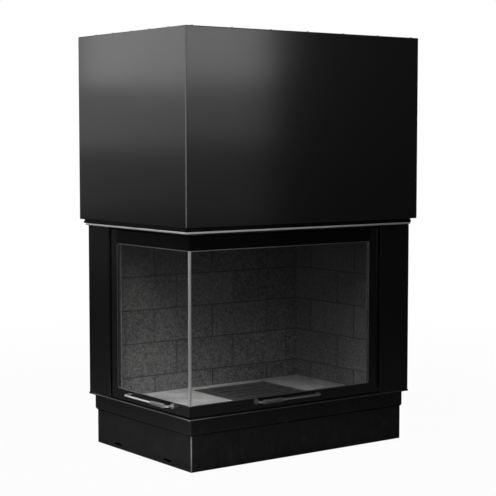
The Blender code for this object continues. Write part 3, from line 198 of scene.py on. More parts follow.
# Lamps: name, place, aim, size, brightness and, where a grid narrows it, the beam
LAMPS = (
    ("front_upper", (0.20, -1.32, 1.78), (-0.30, -0.34, 1.78), (0.62, 0.90), 3.2),
    ("front_lower", (0.20, -1.32, 1.21), (-0.30, -0.34, 1.21), (0.62, 0.24), 1.0),
    ("front_low", (0.20, -1.32, 0.92), (-0.30, -0.34, 0.92), (0.62, 0.34), 0.26),
    ("left_upper", (-1.432, 0.952, 1.80), (-0.732, -0.148, 1.80), (1.05, 0.95), 2.1),
    ("left_lower", (-1.398, 0.974, 1.19), (-0.698, -0.126, 1.19), (1.13, 0.27), 0.66),
    ("left_low", (-1.398, 0.974, 0.925), (-0.698, -0.126, 0.925), (1.13, 0.25), 0.12),
    ("corner_left", (-2.44, -0.82, 1.24), (-0.5, -0.34, 1.24), (0.40, 1.3), 13.0, GRID),
    ("corner_front", (-1.53, -2.05, 1.24), (-0.5, -0.34, 1.24), (0.40, 1.3), 11.0, GRID),
    ("corner_floor", (-0.72, -0.50, 0.004), (-0.72, -0.50, 1.0), (0.40, 0.40), 3.2),
    ("handle_left", (-1.65, 1.73, 0.65), (-0.51, -0.10, 0.21), (0.5, 0.35), 8.0, GRID),
    ("key", (-1.50, -0.50, 1.95), (-0.35, -0.05, 0.30), (0.9, 0.9), 10.5),
    ("overhead", (-0.6, -1.2, 3.2), (0.0, 0.0, 0.6), (2.4, 2.0), 1.0),
)


def feed(tree, socket, value):
    """Links a socket to another one, or sets it."""
    if isinstance(value, bpy.types.NodeSocket):
        tree.links.new(value, socket)
    else:
        socket.default_value = value


def feed_all(tree, node, inputs):
    for key, value in inputs.items():
        feed(tree, node.inputs[key], value)


def add(tree, kind, inputs=None, **settings):
    """Adds a node, with its settings and its inputs, which are values or other nodes' sockets."""
    made = tree.nodes.new(kind)
    for key, value in settings.items():
        setattr(made, key, value)
    feed_all(tree, made, inputs or {})
    return made


def sum_of(tree, operation, a, b=0.0):
    """What a Math node makes of one or two numbers."""
    made = add(tree, "ShaderNodeMath", operation=operation)
    feed(tree, made.inputs[0], a)
    feed(tree, made.inputs[1], b)
    return made.outputs[0]


def vector_sum(tree, operation, a, b, result):
    """What a Vector Math node makes of two vectors: its output called Vector or Value."""
    return add(tree, "ShaderNodeVectorMath", {0: a, 1: b}, operation=operation).outputs[result]


def ranged(tree, value, low, high, from_low=0.0, from_high=1.0):
    """A value moved from one range to another and held inside it."""
    inputs = {"Value": value, "From Min": from_low, "From Max": from_high, "To Min": low, "To Max": high}
    return add(tree, "ShaderNodeMapRange", inputs).outputs["Result"]


def noise(tree, place, scale, detail=2.0, roughness=0.5):
    inputs = {"Vector": place, "Scale": scale, "Detail": detail, "Roughness": roughness}
    return add(tree, "ShaderNodeTexNoise", inputs).outputs["Fac"]


def stretched(tree, place, scale):
    """A place scaled along each axis. A small scale draws a pattern out."""
    return add(tree, "ShaderNodeMapping", {"Vector": place, "Scale": scale}).outputs["Vector"]


def shade_mix(tree, factor, dark, light):
    """A colour between two others."""
    made = add(tree, "ShaderNodeMix", data_type="RGBA")
    feed(tree, made.inputs[0], factor)
    feed(tree, made.inputs[6], dark)
    feed(tree, made.inputs[7], light)
    return made.outputs[2]


def rgba(colour, share=1.0):
    return (colour[0] * share, colour[1] * share, colour[2] * share, 1.0)


def bump(tree, height, distance, strength=1.0):
    inputs = {"Height": height, "Distance": distance, "Strength": strength}
    return add(tree, "ShaderNodeBump", inputs).outputs["Normal"]


def new_look(name):
    """A material with a Principled shader, and the place on the object that its pattern reads."""
    look = bpy.data.materials.new(name)
    look.use_nodes = True
    tree = look.node_tree
    shader = tree.nodes["Principled BSDF"]
    place = add(tree, "ShaderNodeTexCoord").outputs["Object"]
    return look, tree, shader, place


def mix_surface(tree, share, base, over):
    """Ends a material in a base shader with a share of another one."""
    mixed = add(tree, "ShaderNodeMixShader", {0: share, 1: base, 2: over})
    feed(tree, tree.nodes["Material Output"].inputs["Surface"], mixed.outputs["Shader"])


def satin_paint(name, colour, roughness, specular, wear=0.0, corner=None):
    """Heat-proof paint sprayed on sheet: fine orange peel, slight clouds in its sheen, a little dust.

    Wear adds upright streaks, as on a base that is wiped and knocked. A corner is a place on plan
    where a pale upright line is painted along the edge: a painted highlight.
    """
    look, tree, shader, place = new_look(name)
    clouds = noise(tree, place, 4.0, 3.0)
    dust = noise(tree, place, 1400.0, 1.0)
    grain = ranged(tree, dust, 0.0, 1.0, 0.45, 0.75)
    streaks = noise(tree, stretched(tree, place, (1.0, 1.0, 0.45)), 30.0, 6.0, 0.7)
    worn = ranged(tree, streaks, 0.0, wear, 0.42, 0.68)
    paint = shade_mix(tree, grain, rgba(colour, 0.85), rgba(colour, 1.5))
    paint = shade_mix(tree, worn, paint, rgba(colour, 8.0))
    # A pale line along the upright corner, broken by the streaks: a painted highlight
    if corner:
        on_plan = vector_sum(tree, "MULTIPLY", place, (1.0, 1.0, 0.0), "Vector")
        apart = vector_sum(tree, "DISTANCE", on_plan, corner, "Value")
        painted_highlight = ranged(tree, apart, 1.0, 0.0, 0.0016, 0.0042)
        painted_highlight = sum_of(tree, "MULTIPLY", painted_highlight, ranged(tree, streaks, 0.5, 1.0, 0.3, 0.6))
        paint = shade_mix(tree, painted_highlight, paint, (0.30, 0.30, 0.31, 1.0))
    peel = noise(tree, place, 420.0, 2.0)
    inputs = {
        "Base Color": paint,
        "Roughness": ranged(tree, clouds, roughness - 0.03, roughness + 0.03),
        "Normal": bump(tree, peel, 0.0001, 0.2),
        "Specular IOR Level": specular,
    }
    feed_all(tree, shader, inputs)
    return look


def plate_steel(name, colour):
    """Hot-rolled plate: dark scale in clouds, with lighter rubbed places."""
    look, tree, shader, place = new_look(name)
    clouds = noise(tree, place, 14.0, 6.0, 0.6)
    skin = noise(tree, place, 300.0, 3.0)
    inputs = {
        "Base Color": shade_mix(tree, clouds, rgba(colour, 0.6), rgba(colour, 1.5)),
        "Roughness": ranged(tree, clouds, 0.62, 0.42, 0.3, 0.7),
        "Normal": bump(tree, skin, 0.0002, 0.4),
        "Metallic": 0.7,
    }
    feed_all(tree, shader, inputs)
    return look


def zinc_sheet(name, colour):
    """Zinc-coated sheet: faint crystals of differing tone and sheen."""
    look, tree, shader, place = new_look(name)
    cells = add(tree, "ShaderNodeTexVoronoi", {"Vector": place, "Scale": 70.0}).outputs["Color"]
    tone = add(tree, "ShaderNodeSeparateColor", {"Color": cells}).outputs[0]
    skin = noise(tree, place, 120.0, 2.0)
    inputs = {
        "Base Color": shade_mix(tree, tone, rgba(colour, 0.82), rgba(colour, 1.15)),
        "Roughness": ranged(tree, tone, 0.34, 0.48),
        "Normal": bump(tree, skin, 0.0002, 0.15),
        "Metallic": 0.9,
    }
    feed_all(tree, shader, inputs)
    return look


def brushed_steel(name, colour, stretch, roughness, depth=0.0001):
    """Satin steel with fine scratches along one direction."""
    look, tree, shader, place = new_look(name)
    lines = noise(tree, stretched(tree, place, stretch), 60.0, 4.0, 0.7)
    inputs = {
        "Base Color": shade_mix(tree, lines, rgba(colour, 0.8), rgba(colour, 1.12)),
        "Roughness": ranged(tree, lines, roughness - 0.06, roughness + 0.08),
        "Normal": bump(tree, lines, depth, 0.25),
        "Metallic": 1.0,
    }
    feed_all(tree, shader, inputs)
    return look


def edge_painted_glint(name, colour, corner):
    """The ledge's front edge: a painted highlight near its corner, dull along its sides, with scuffs."""
    look, tree, shader, place = new_look(name)
    apart = vector_sum(tree, "DISTANCE", place, corner, "Value")
    scuffs = noise(tree, place, 45.0, 3.0, 0.6)
    # Painted highlight, brightest at the corner and gone a hand's width along
    painted_highlight = ranged(tree, apart, 1.0, 0.0, 0.015, 0.10)
    tone = sum_of(tree, "ADD", painted_highlight, ranged(tree, scuffs, -0.12, 0.12, 0.3, 0.7))
    inputs = {
        "Base Color": shade_mix(tree, tone, rgba(colour, 0.28), rgba(colour, 0.7)),
        "Roughness": ranged(tree, scuffs, 0.26, 0.36),
        "Metallic": 1.0,
    }
    feed_all(tree, shader, inputs)
    return look


def cast_iron(name, colour):
    """Sand-cast iron: a grainy skin, a little brighter where it is rubbed."""
    look, tree, shader, place = new_look(name)
    sand = noise(tree, place, 520.0, 4.0, 0.65)
    clouds = noise(tree, place, 22.0, 3.0)
    inputs = {
        "Base Color": shade_mix(tree, clouds, rgba(colour, 0.7), rgba(colour, 1.6)),
        "Roughness": ranged(tree, sand, 0.48, 0.66),
        "Normal": bump(tree, sand, 0.0006, 0.6),
        "Metallic": 0.45,
    }
    feed_all(tree, shader, inputs)
    return look


def to_edge(tree, run, length):
    """How far a place is from the nearer end of its brick."""
    share = sum_of(tree, "FRACT", sum_of(tree, "ADD", sum_of(tree, "DIVIDE", run, length), 8.0))
    nearer = sum_of(tree, "MINIMUM", share, sum_of(tree, "SUBTRACT", 1.0, share))
    return sum_of(tree, "MULTIPLY", nearer, length)


def brick_tone(tree, place, across, corner, joints, bottom, pitch):
    """A random tone for each brick of a running bond, and the distance to the nearest joint.

    Bricks are counted from the inner corner of the firebox, in courses from the second one up.
    """
    parts = add(tree, "ShaderNodeSeparateXYZ", {"Vector": place})
    rise = sum_of(tree, "SUBTRACT", parts.outputs["Z"], bottom)
    row = sum_of(tree, "FLOOR", sum_of(tree, "DIVIDE", rise, pitch))
    odd = sum_of(tree, "MODULO", sum_of(tree, "ADD", row, 2.0), 2.0)
    shift = sum_of(tree, "MULTIPLY", odd, joints[0] - joints[1])
    run = sum_of(tree, "SUBTRACT", corner - joints[1], parts.outputs[across])
    run = sum_of(tree, "SUBTRACT", run, shift)
    column = sum_of(tree, "FLOOR", sum_of(tree, "DIVIDE", run, BRICK_LENGTH))
    seat = add(tree, "ShaderNodeCombineXYZ", {"X": row, "Y": column}).outputs["Vector"]
    tone = add(tree, "ShaderNodeTexWhiteNoise", {"Vector": seat}).outputs["Value"]
    return tone, sum_of(tree, "MINIMUM", to_edge(tree, run, BRICK_LENGTH), to_edge(tree, rise, pitch))


def fire_clay(name, colour, grain_depth, speckle, bond=None, painted_shade_rise=None):
    """Pressed fire clay with grit and pits.

    A bond gives each brick its own tone and dark joints. Painted shade darkens the clay upwards between
    two heights.
    """
    look, tree, shader, place = new_look(name)
    tone, edge = brick_tone(tree, place, *bond) if bond else (0.5, 1.0)
    grit = noise(tree, place, 130.0, 4.0, 0.7)
    clouds = noise(tree, place, 9.0, 4.0, 0.6)
    pits = add(tree, "ShaderNodeTexVoronoi", {"Vector": place, "Scale": 75.0}).outputs["Distance"]
    pit = ranged(tree, pits, 0.0, 1.0, 0.12, 0.32)
    base = shade_mix(tree, tone, rgba(colour, 0.5), rgba(colour, 1.7))
    cloud = ranged(tree, clouds, 0.0, 1.0, 0.3, 0.7)
    cloudy = shade_mix(tree, cloud, rgba(colour, 0.4), rgba(colour, 1.7))
    mottled = shade_mix(tree, 0.5, base, cloudy)
    pale_grit = ranged(tree, grit, 0.0, 0.6 * speckle, 0.48, 0.66)
    speckled = shade_mix(tree, pale_grit, mottled, rgba(colour, 2.6))
    dark_grit = ranged(tree, grit, speckle, 0.0, 0.32, 0.46)
    darker = shade_mix(tree, dark_grit, speckled, rgba(colour, 0.25))
    pitted = shade_mix(tree, ranged(tree, pit, 0.7 * speckle, 0.0), darker, rgba(colour, 0.2))
    ragged = sum_of(tree, "ADD", edge, ranged(tree, grit, 0.0012, -0.0012, 0.35, 0.65))
    joint = ranged(tree, ragged, 0.85, 0.0, 0.0006, 0.0024)
    clay = shade_mix(tree, joint, pitted, rgba(colour, 0.06))
    # Painted shade: the lining darkens upwards from just over the hearth to the rails over the panes
    if painted_shade_rise:
        height = add(tree, "ShaderNodeSeparateXYZ", {"Vector": place}).outputs["Z"]
        painted_darkening = ranged(tree, height, 0.0, 0.78, *painted_shade_rise)
        painted_darkening = sum_of(tree, "ADD", painted_darkening, ranged(tree, clouds, -0.1, 0.1, 0.3, 0.7))
        clay = shade_mix(tree, painted_darkening, clay, rgba(colour, 0.08))
    relief = sum_of(tree, "ADD", grit, sum_of(tree, "MULTIPLY", pit, 0.6))
    inputs = {
        "Base Color": clay,
        "Roughness": ranged(tree, grit, 0.82, 0.97),
        "Normal": bump(tree, relief, grain_depth, 0.8),
        "Specular IOR Level": 0.2,
    }
    feed_all(tree, shader, inputs)
    return look


def fire_glass(name, colour):
    """Clear glass that lets lamps through."""
    look, tree, shader, place = new_look(name)
    rays = add(tree, "ShaderNodeLightPath").outputs["Is Shadow Ray"]
    clear = add(tree, "ShaderNodeBsdfTransparent", {"Color": rgba(colour)}).outputs["BSDF"]
    mix_surface(tree, rays, shader.outputs["BSDF"], clear)
    haze = noise(tree, place, 3.0, 2.0)
    inputs = {
        "Base Color": rgba(colour),
        "Roughness": ranged(tree, haze, 0.0, 0.01, 0.4, 0.8),
        "IOR": 1.45,
        "Transmission Weight": 1.0,
    }
    feed_all(tree, shader, inputs)
    return look


def fibre_rope(name, colour):
    """Glass-fibre rope: fine threads across each strand."""
    look, tree, shader, place = new_look(name)
    threads = noise(tree, place, 900.0, 2.0)
    inputs = {
        "Base Color": shade_mix(tree, threads, rgba(colour, 0.5), rgba(colour, 1.6)),
        "Roughness": 0.9,
        "Normal": bump(tree, threads, 0.0003, 0.8),
        "Specular IOR Level": 0.1,
    }
    feed_all(tree, shader, inputs)
    return look


def dress(names, look):
    for name in names:
        mesh = NODES[name].data
        mesh.materials.clear()
        mesh.materials.append(look)


def object_of(name, points, edges=(), faces=()):
    """A new object at the origin, with its place in its mesh."""
    mesh = bpy.data.meshes.new(name)
    mesh.from_pydata([tuple(point) for point in points], edges, faces)
    made = bpy.data.objects.new(name, mesh)
    bpy.context.scene.collection.objects.link(made)
    return made


def node_group(name, inputs):
    """An empty Geometry Nodes group with a geometry in and out and the named inputs."""
    tree = bpy.data.node_groups.new(name, "GeometryNodeTree")
    tree.interface.new_socket("Geometry", in_out="INPUT", socket_type="NodeSocketGeometry")
    for label, kind in inputs:
        tree.interface.new_socket(label, in_out="INPUT", socket_type=kind)
    tree.interface.new_socket("Geometry", in_out="OUTPUT", socket_type="NodeSocketGeometry")
    return tree, tree.nodes.new("NodeGroupInput").outputs


def close_group(tree, geometry, look):
    """Ends a group in real, painted geometry."""
    whole = add(tree, "GeometryNodeRealizeInstances", {"Geometry": geometry}).outputs["Geometry"]
    inputs = {"Geometry": whole, "Material": look}
    painted = add(tree, "GeometryNodeSetMaterial", inputs).outputs["Geometry"]
    feed(tree, tree.nodes.new("NodeGroupOutput").inputs["Geometry"], painted)


def screw_group():
    """Sets a socket-head screw on each point, along the point's own direction."""
    sizes = (
        ("Head Radius", "NodeSocketFloat"),
        ("Head Height", "NodeSocketFloat"),
        ("Sides", "NodeSocketInt"),
        ("Material", "NodeSocketMaterial"),
    )
    tree, given = node_group("screws", sizes)
    radius, height = given["Head Radius"], given["Head Height"]
    crown = sum_of(tree, "MULTIPLY", radius, 0.72)
    head_sizes = {
        "Vertices": given["Sides"],
        "Radius Top": crown,
        "Radius Bottom": radius,
        "Depth": height,
    }
    head = add(tree, "GeometryNodeMeshCone", head_sizes).outputs["Mesh"]
    bore = sum_of(tree, "MULTIPLY", radius, 0.42)
    key_sizes = {"Vertices": 6, "Radius": bore, "Depth": height}
    key = add(tree, "GeometryNodeMeshCylinder", key_sizes).outputs["Mesh"]
    lift = add(tree, "ShaderNodeCombineXYZ", {"Z": height}).outputs["Vector"]
    key = add(tree, "GeometryNodeTransform", {"Geometry": key, "Translation": lift}).outputs["Geometry"]
    cut = add(tree, "GeometryNodeMeshBoolean", {"Mesh 1": head, "Mesh 2": key}, operation="DIFFERENCE")
    way = add(tree, "GeometryNodeInputNamedAttribute", {"Name": "facing"}, data_type="FLOAT_VECTOR")
    facing = {"Vector": way.outputs["Attribute"]}
    aimed = add(tree, "FunctionNodeAlignRotationToVector", facing, axis="Z")
    seats = {
        "Points": given["Geometry"],
        "Instance": cut.outputs["Mesh"],
        "Rotation": aimed.outputs["Rotation"],
    }
    placed = add(tree, "GeometryNodeInstanceOnPoints", seats).outputs["Instances"]
    close_group(tree, placed, given["Material"])
    return tree


def rope_group():
    """Winds a rope of twisted strands along a line."""
    sizes = (
        ("Radius", "NodeSocketFloat"),
        ("Strands", "NodeSocketInt"),
        ("Lay", "NodeSocketFloat"),
        ("Step", "NodeSocketFloat"),
        ("Material", "NodeSocketMaterial"),
    )
    tree, given = node_group("rope", sizes)
    line = add(tree, "GeometryNodeMeshToCurve", {"Mesh": given["Geometry"]}).outputs["Curve"]
    even = {"Curve": line, "Length": given["Step"]}
    line = add(tree, "GeometryNodeResampleCurve", even, mode="LENGTH").outputs["Curve"]
    run = add(tree, "GeometryNodeSplineParameter").outputs
    turn = sum_of(tree, "DIVIDE", sum_of(tree, "MULTIPLY", run["Length"], math.tau), given["Lay"])
    line = add(tree, "GeometryNodeSetCurveTilt", {"Curve": line, "Tilt": turn}).outputs["Curve"]
    corners = sum_of(tree, "MULTIPLY", given["Strands"], 6.0)
    ring_sizes = {"Resolution": corners, "Radius": given["Radius"]}
    ring = add(tree, "GeometryNodeCurvePrimitiveCircle", ring_sizes).outputs["Curve"]
    angle = sum_of(tree, "MULTIPLY", run["Factor"], math.tau)
    wave = sum_of(tree, "COSINE", sum_of(tree, "MULTIPLY", angle, given["Strands"]))
    dent = ranged(tree, wave, -0.26, 0.0, -1.0, 1.0)
    place = add(tree, "GeometryNodeInputPosition").outputs["Position"]
    pull = add(tree, "ShaderNodeVectorMath", {0: place, "Scale": dent}, operation="SCALE")
    dents = {"Geometry": ring, "Offset": pull.outputs["Vector"]}
    lobes = add(tree, "GeometryNodeSetPosition", dents).outputs["Geometry"]
    sweep = {"Curve": line, "Profile Curve": lobes, "Fill Caps": True}
    rope = add(tree, "GeometryNodeCurveToMesh", sweep).outputs["Mesh"]
    rope = add(tree, "GeometryNodeSetShadeSmooth", {"Geometry": rope}).outputs["Geometry"]
    close_group(tree, rope, given["Material"])
    return tree


def grown(guide, tree, values):
    """Runs a group on a guide object and keeps what it makes as the object's plain mesh."""
    modifier = guide.modifiers.new(tree.name, "NODES")
    modifier.node_group = tree
    for item in tree.interface.items_tree:
        if item.in_out == "INPUT" and item.name in values:
            modifier[item.identifier] = values[item.name]
    bpy.context.view_layer.update()
    made = bpy.data.meshes.new_from_object(guide.evaluated_get(bpy.context.evaluated_depsgraph_get()))
    guide.modifiers.remove(modifier)
    made.name = guide.name
    guide.data = made
    if not made.polygons:
        raise RuntimeError(f"{guide.name} came out empty")
    return guide


def grow_screws(name, seats, look, tree):
    """One mesh of screws. A seat is the point under a screw's head and the way that the head faces."""
    guide = object_of(name, [place for place, _ in seats])
    facing = guide.data.attributes.new("facing", "FLOAT_VECTOR", "POINT")
    for target, (_, way) in zip(facing.data, seats):
        target.vector = way
    sizes = bpy.context.scene.fireplace_fasteners
    values = {
        "Head Radius": sizes.head_radius,
        "Head Height": sizes.head_height,
        "Sides": sizes.sides,
        "Material": look,
    }
    return grown(guide, tree, values)


def bead_group():
    """Draws a round bead along a line."""
    sizes = (
        ("Radius", "NodeSocketFloat"),
        ("Sides", "NodeSocketInt"),
        ("Material", "NodeSocketMaterial"),
    )
    tree, given = node_group("bead", sizes)
    line = add(tree, "GeometryNodeMeshToCurve", {"Mesh": given["Geometry"]}).outputs["Curve"]
    ring_sizes = {"Resolution": given["Sides"], "Radius": given["Radius"]}
    ring = add(tree, "GeometryNodeCurvePrimitiveCircle", ring_sizes).outputs["Curve"]
    sweep = {"Curve": line, "Profile Curve": ring, "Fill Caps": True}
    bead = add(tree, "GeometryNodeCurveToMesh", sweep).outputs["Mesh"]
    bead = add(tree, "GeometryNodeSetShadeSmooth", {"Geometry": bead}).outputs["Geometry"]
    close_group(tree, bead, given["Material"])
    return tree


def rounded(points, bend):
    """A line through points, with its right-angled corners rounded off."""
    steps = 6
    line = [points[0]]
    for before, here, after in zip(points, points[1:], points[2:]):
        back, ahead = (before - here).normalized(), (after - here).normalized()
        centre = here + (back + ahead) * bend
        for k in range(steps + 1):
            angle = math.pi / 2 * k / steps
            line.append(centre - ahead * bend * math.cos(angle) - back * bend * math.sin(angle))
    return line + [points[-1]]


def corner_line(x, y, z, x_end, y_end, bend):
    """An L-shaped line round the front left corner at one height, from right to left to back."""
    return rounded([Vector((x_end, y, z)), Vector((x, y, z)), Vector((x, y_end, z))], bend)


def line_guide(name, line):
    return object_of(name, line, [(k, k + 1) for k in range(len(line) - 1)])


def grow_bead(name, line, radius, look, tree):
    sides = bpy.context.scene.fireplace_ropes.bead_sides
    values = {"Radius": radius, "Sides": sides, "Material": look}
    return grown(line_guide(name, line), tree, values)


def grow_rope(name, line, radius, lay, look, tree):
    sizes = bpy.context.scene.fireplace_ropes
    values = {
        "Radius": radius,
        "Strands": sizes.strands,
        "Lay": lay,
        "Step": lay / sizes.steps_per_turn,
        "Material": look,
    }
    return grown(line_guide(name, line), tree, values)


def turned(name, profile, centre, sides, look):
    """A ring turned about an upright axis from a closed profile of (radius, height) pairs."""
    points, faces = [], []
    count = len(profile)
    for k in range(sides):
        angle = math.tau * k / sides
        for radius, height in profile:
            reach = Vector((math.cos(angle), math.sin(angle), 0)) * radius
            points.append(centre + reach + Z_WAY * height)
        for i in range(count):
            j = (i + 1) % count
            here, there = k * count, (k + 1) % sides * count
            faces.append((here + i, there + i, there + j, here + j))
    made = object_of(name, points, (), faces)
    made.data.shade_smooth()
    made.data.set_sharp_from_angle(angle=math.radians(40))
    made.data.materials.append(look)
    shape = bmesh.new()
    shape.from_mesh(made.data)
    bmesh.ops.recalc_face_normals(shape, faces=shape.faces)
    shape.to_mesh(made.data)
    shape.free()
    return made


def spread(low, high, count, inset):
    """Even places between two ends, held back from both."""
    start, reach = low + inset, high - low - 2 * inset
    return [start + reach * k / (count - 1) for k in range(count)]


def colour_setting(name, description, default):
    return FloatVectorProperty(name=name, description=description, subtype="COLOR", default=default)


def length_setting(name, description, default):
    return FloatProperty(name=name, description=description, subtype="DISTANCE", default=default)


class Finishes(PropertyGroup):
    casing: colour_setting("Casing", "Paint of the hood", (0.005, 0.005, 0.0053))
    framing: colour_setting("Frame", "Paint of the door frame, covers and ledge", (0.004, 0.004, 0.0043))
    # A darker copy of the casing's paint on the same sheet: painted shade
    plinth: colour_setting("Plinth", "Paint of the plinth and its band", (0.003, 0.003, 0.0032))
    # Darker and less glossy than the frame's paint: painted shade under the hood's lip
    lintel: colour_setting("Lintel", "Matt paint of the rails over the panes", (0.0016, 0.0016, 0.0017))
    brick: colour_setting("Brick", "Clay of the lining and the baffle", (0.130, 0.128, 0.126))
    hearth: colour_setting("Hearth", "Clay of the hearth", (0.35, 0.348, 0.345))
    iron: colour_setting("Iron", "Cast grate, weights and pulleys", (0.060, 0.060, 0.063))
    plate: colour_setting("Plate", "Bare plate of the firebox and dome", (0.09, 0.09, 0.095))
    zinc: colour_setting("Zinc", "Zinc-coated sheet and screws", (0.42, 0.43, 0.44))
    wire: colour_setting("Wire", "Steel of the lifting cables", (0.62, 0.62, 0.63))
    trim: colour_setting("Trim", "Strip under the hood and bar at the glass corner", (0.88, 0.88, 0.89))
    rod: colour_setting("Rod", "Steel of the handle rods and beads", (0.56, 0.56, 0.57))
    grip: colour_setting("Grip", "Blasted steel of the grips", (0.30, 0.30, 0.305))
    seal: colour_setting("Seal", "Fibre rope", (0.030, 0.030, 0.032))


class Fasteners(PropertyGroup):
    head_radius: length_setting("Head Radius", "Screw heads", 0.0045)
    head_height: length_setting("Head Height", "Screw heads", 0.0022)
    sides: IntProperty(name="Sides", description="Facets round a head", default=20, min=8)


class Ropes(PropertyGroup):
    seal_radius: length_setting("Seal Radius", "Rope seals at the door", 0.0023)
    wire_radius: length_setting("Wire Radius", "Lifting cables", 0.0015)
    seal_lay: length_setting("Seal Lay", "Length of a seal's turn", 0.018)
    wire_lay: length_setting("Wire Lay", "Length of a cable's turn", 0.012)
    strands: IntProperty(name="Strands", description="Strands of a rope", default=6, min=2)
    bead_sides: IntProperty(name="Bead Sides", description="Facets round a bead", default=12, min=6)
    steps_per_turn: IntProperty(name="Steps", description="Sections in a strand's turn", default=10, min=4)


class Studio(PropertyGroup):
    lens: FloatProperty(name="Lens", description="Focal length in millimetres", default=102.7)
    azimuth: FloatProperty(
        name="Azimuth", description="Turn of the view", subtype="ANGLE", default=math.radians(-36.509)
    )
    elevation: FloatProperty(
        name="Elevation", description="Height of the view", subtype="ANGLE", default=math.radians(4.393)
    )
    eye: FloatVectorProperty(
        name="Eye",
        description="Where the camera stands",
        subtype="XYZ",
        default=(-3.0104, -4.0603, 1.0957),
    )
    fill: FloatProperty(name="Fill", description="Strength of the surrounding light", default=0.06)


class FIREPLACE_OT_casing(Operator):
    """Paints the hood, the plinth and the frame"""

    bl_idname = "fireplace.casing"
    bl_label = "Paint Casing"

    def execute(self, context):
        colours = context.scene.fireplace_finishes
        dress(CASING_NODES, satin_paint("hood_satin_black", colours.casing, 0.22, 0.50))
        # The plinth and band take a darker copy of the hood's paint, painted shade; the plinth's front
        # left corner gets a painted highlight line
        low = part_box("plinth_base")[0]
        base = satin_paint("plinth_black_with_painted_shade_and_glint", colours.plinth, 0.24, 0.28, 0.5, (low.x, low.y, 0.0))
        dress(("plinth_base",), base)
        dress(("plinth_band",), satin_paint("band_black_with_painted_shade", colours.plinth, 0.24, 0.28, 0.5))
        dress(FRAME_NODES, satin_paint("frame_satin_black", colours.framing, 0.24, 0.38))
        # A darker, less glossy copy of the frame's paint on the rails under the lip: painted shade
        dress(LINTEL_NODES, satin_paint("lintel_black_with_painted_shade", colours.lintel, 0.24, 0.16))
        return {"FINISHED"}


class FIREPLACE_OT_firebox(Operator):
    """Gives the lining, hearth, grate and plate their finishes"""

    bl_idname = "fireplace.firebox"
    bl_label = "Finish Firebox"

    def execute(self, context):
        colours = context.scene.fireplace_finishes
        walls = (
            ("back", BACK_BRICKS, "X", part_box(RIGHT_BRICKS[0])[0].x, BACK_JOINTS),
            ("right", RIGHT_BRICKS, "Y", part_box(BACK_BRICKS[0])[0].y, RIGHT_JOINTS),
        )
        painted_shade_rise = (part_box("hearth_slab")[1].z + PAINTED_SHADE_START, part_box("rail_top_front")[0].z)
        for label, names, across, corner, joints in walls:
            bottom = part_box(names[1])[0].z
            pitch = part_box(names[2])[0].z - bottom
            bond = (across, corner, joints, bottom, pitch)
            clay = fire_clay(f"fire_brick_{label}", colours.brick, 0.0012, 1.0, bond, painted_shade_rise)
            dress(names, clay)
        dress(("hearth_slab",), fire_clay("hearth_clay", colours.hearth, 0.0004, 0.25))
        dress(("baffle",), fire_clay("baffle_clay", rgba(colours.brick, 0.6)[:3], 0.0009, 1.0))
        dress(IRON_NODES, cast_iron("cast_iron_skin", colours.iron))
        dress(PLATE_NODES, plate_steel("rolled_plate", colours.plate))
        return {"FINISHED"}


class FIREPLACE_OT_metalwork(Operator):
    """Gives the sheet, trim, handles and panes their finishes"""

    bl_idname = "fireplace.metalwork"
    bl_label = "Finish Metalwork"

    def execute(self, context):
        colours = context.scene.fireplace_finishes
        dress(ZINC_NODES, zinc_sheet("zinc_coated_sheet", colours.zinc))
        dress(("lip_trim",), brushed_steel("trim_steel", colours.trim, (0.6, 0.6, 40.0), 0.45, 0.0003))
        # The front handle's rod and grip are darker copies of the side one's steel: painted shade
        for label, stretch, share in (("front", (0.1, 3.0, 3.0), 0.6), ("side", (3.0, 0.1, 3.0), 1.0)):
            rod = brushed_steel(f"rod_steel_painted_light_{label}", rgba(colours.rod, share)[:3], stretch, 0.34)
            dress((f"handle_bar_{label}",), rod)
            grip = brushed_steel(f"grip_steel_painted_light_{label}", rgba(colours.grip, share)[:3], stretch, 0.48)
            dress((f"handle_grip_{label}",), grip)
        dress(("glass_corner_joint",), brushed_steel("corner_steel", colours.trim, (3.0, 3.0, 0.1), 0.42))
        dress(("glass_front", "glass_side"), fire_glass("clear_fire_glass", (0.965, 0.966, 0.966)))
        return {"FINISHED"}


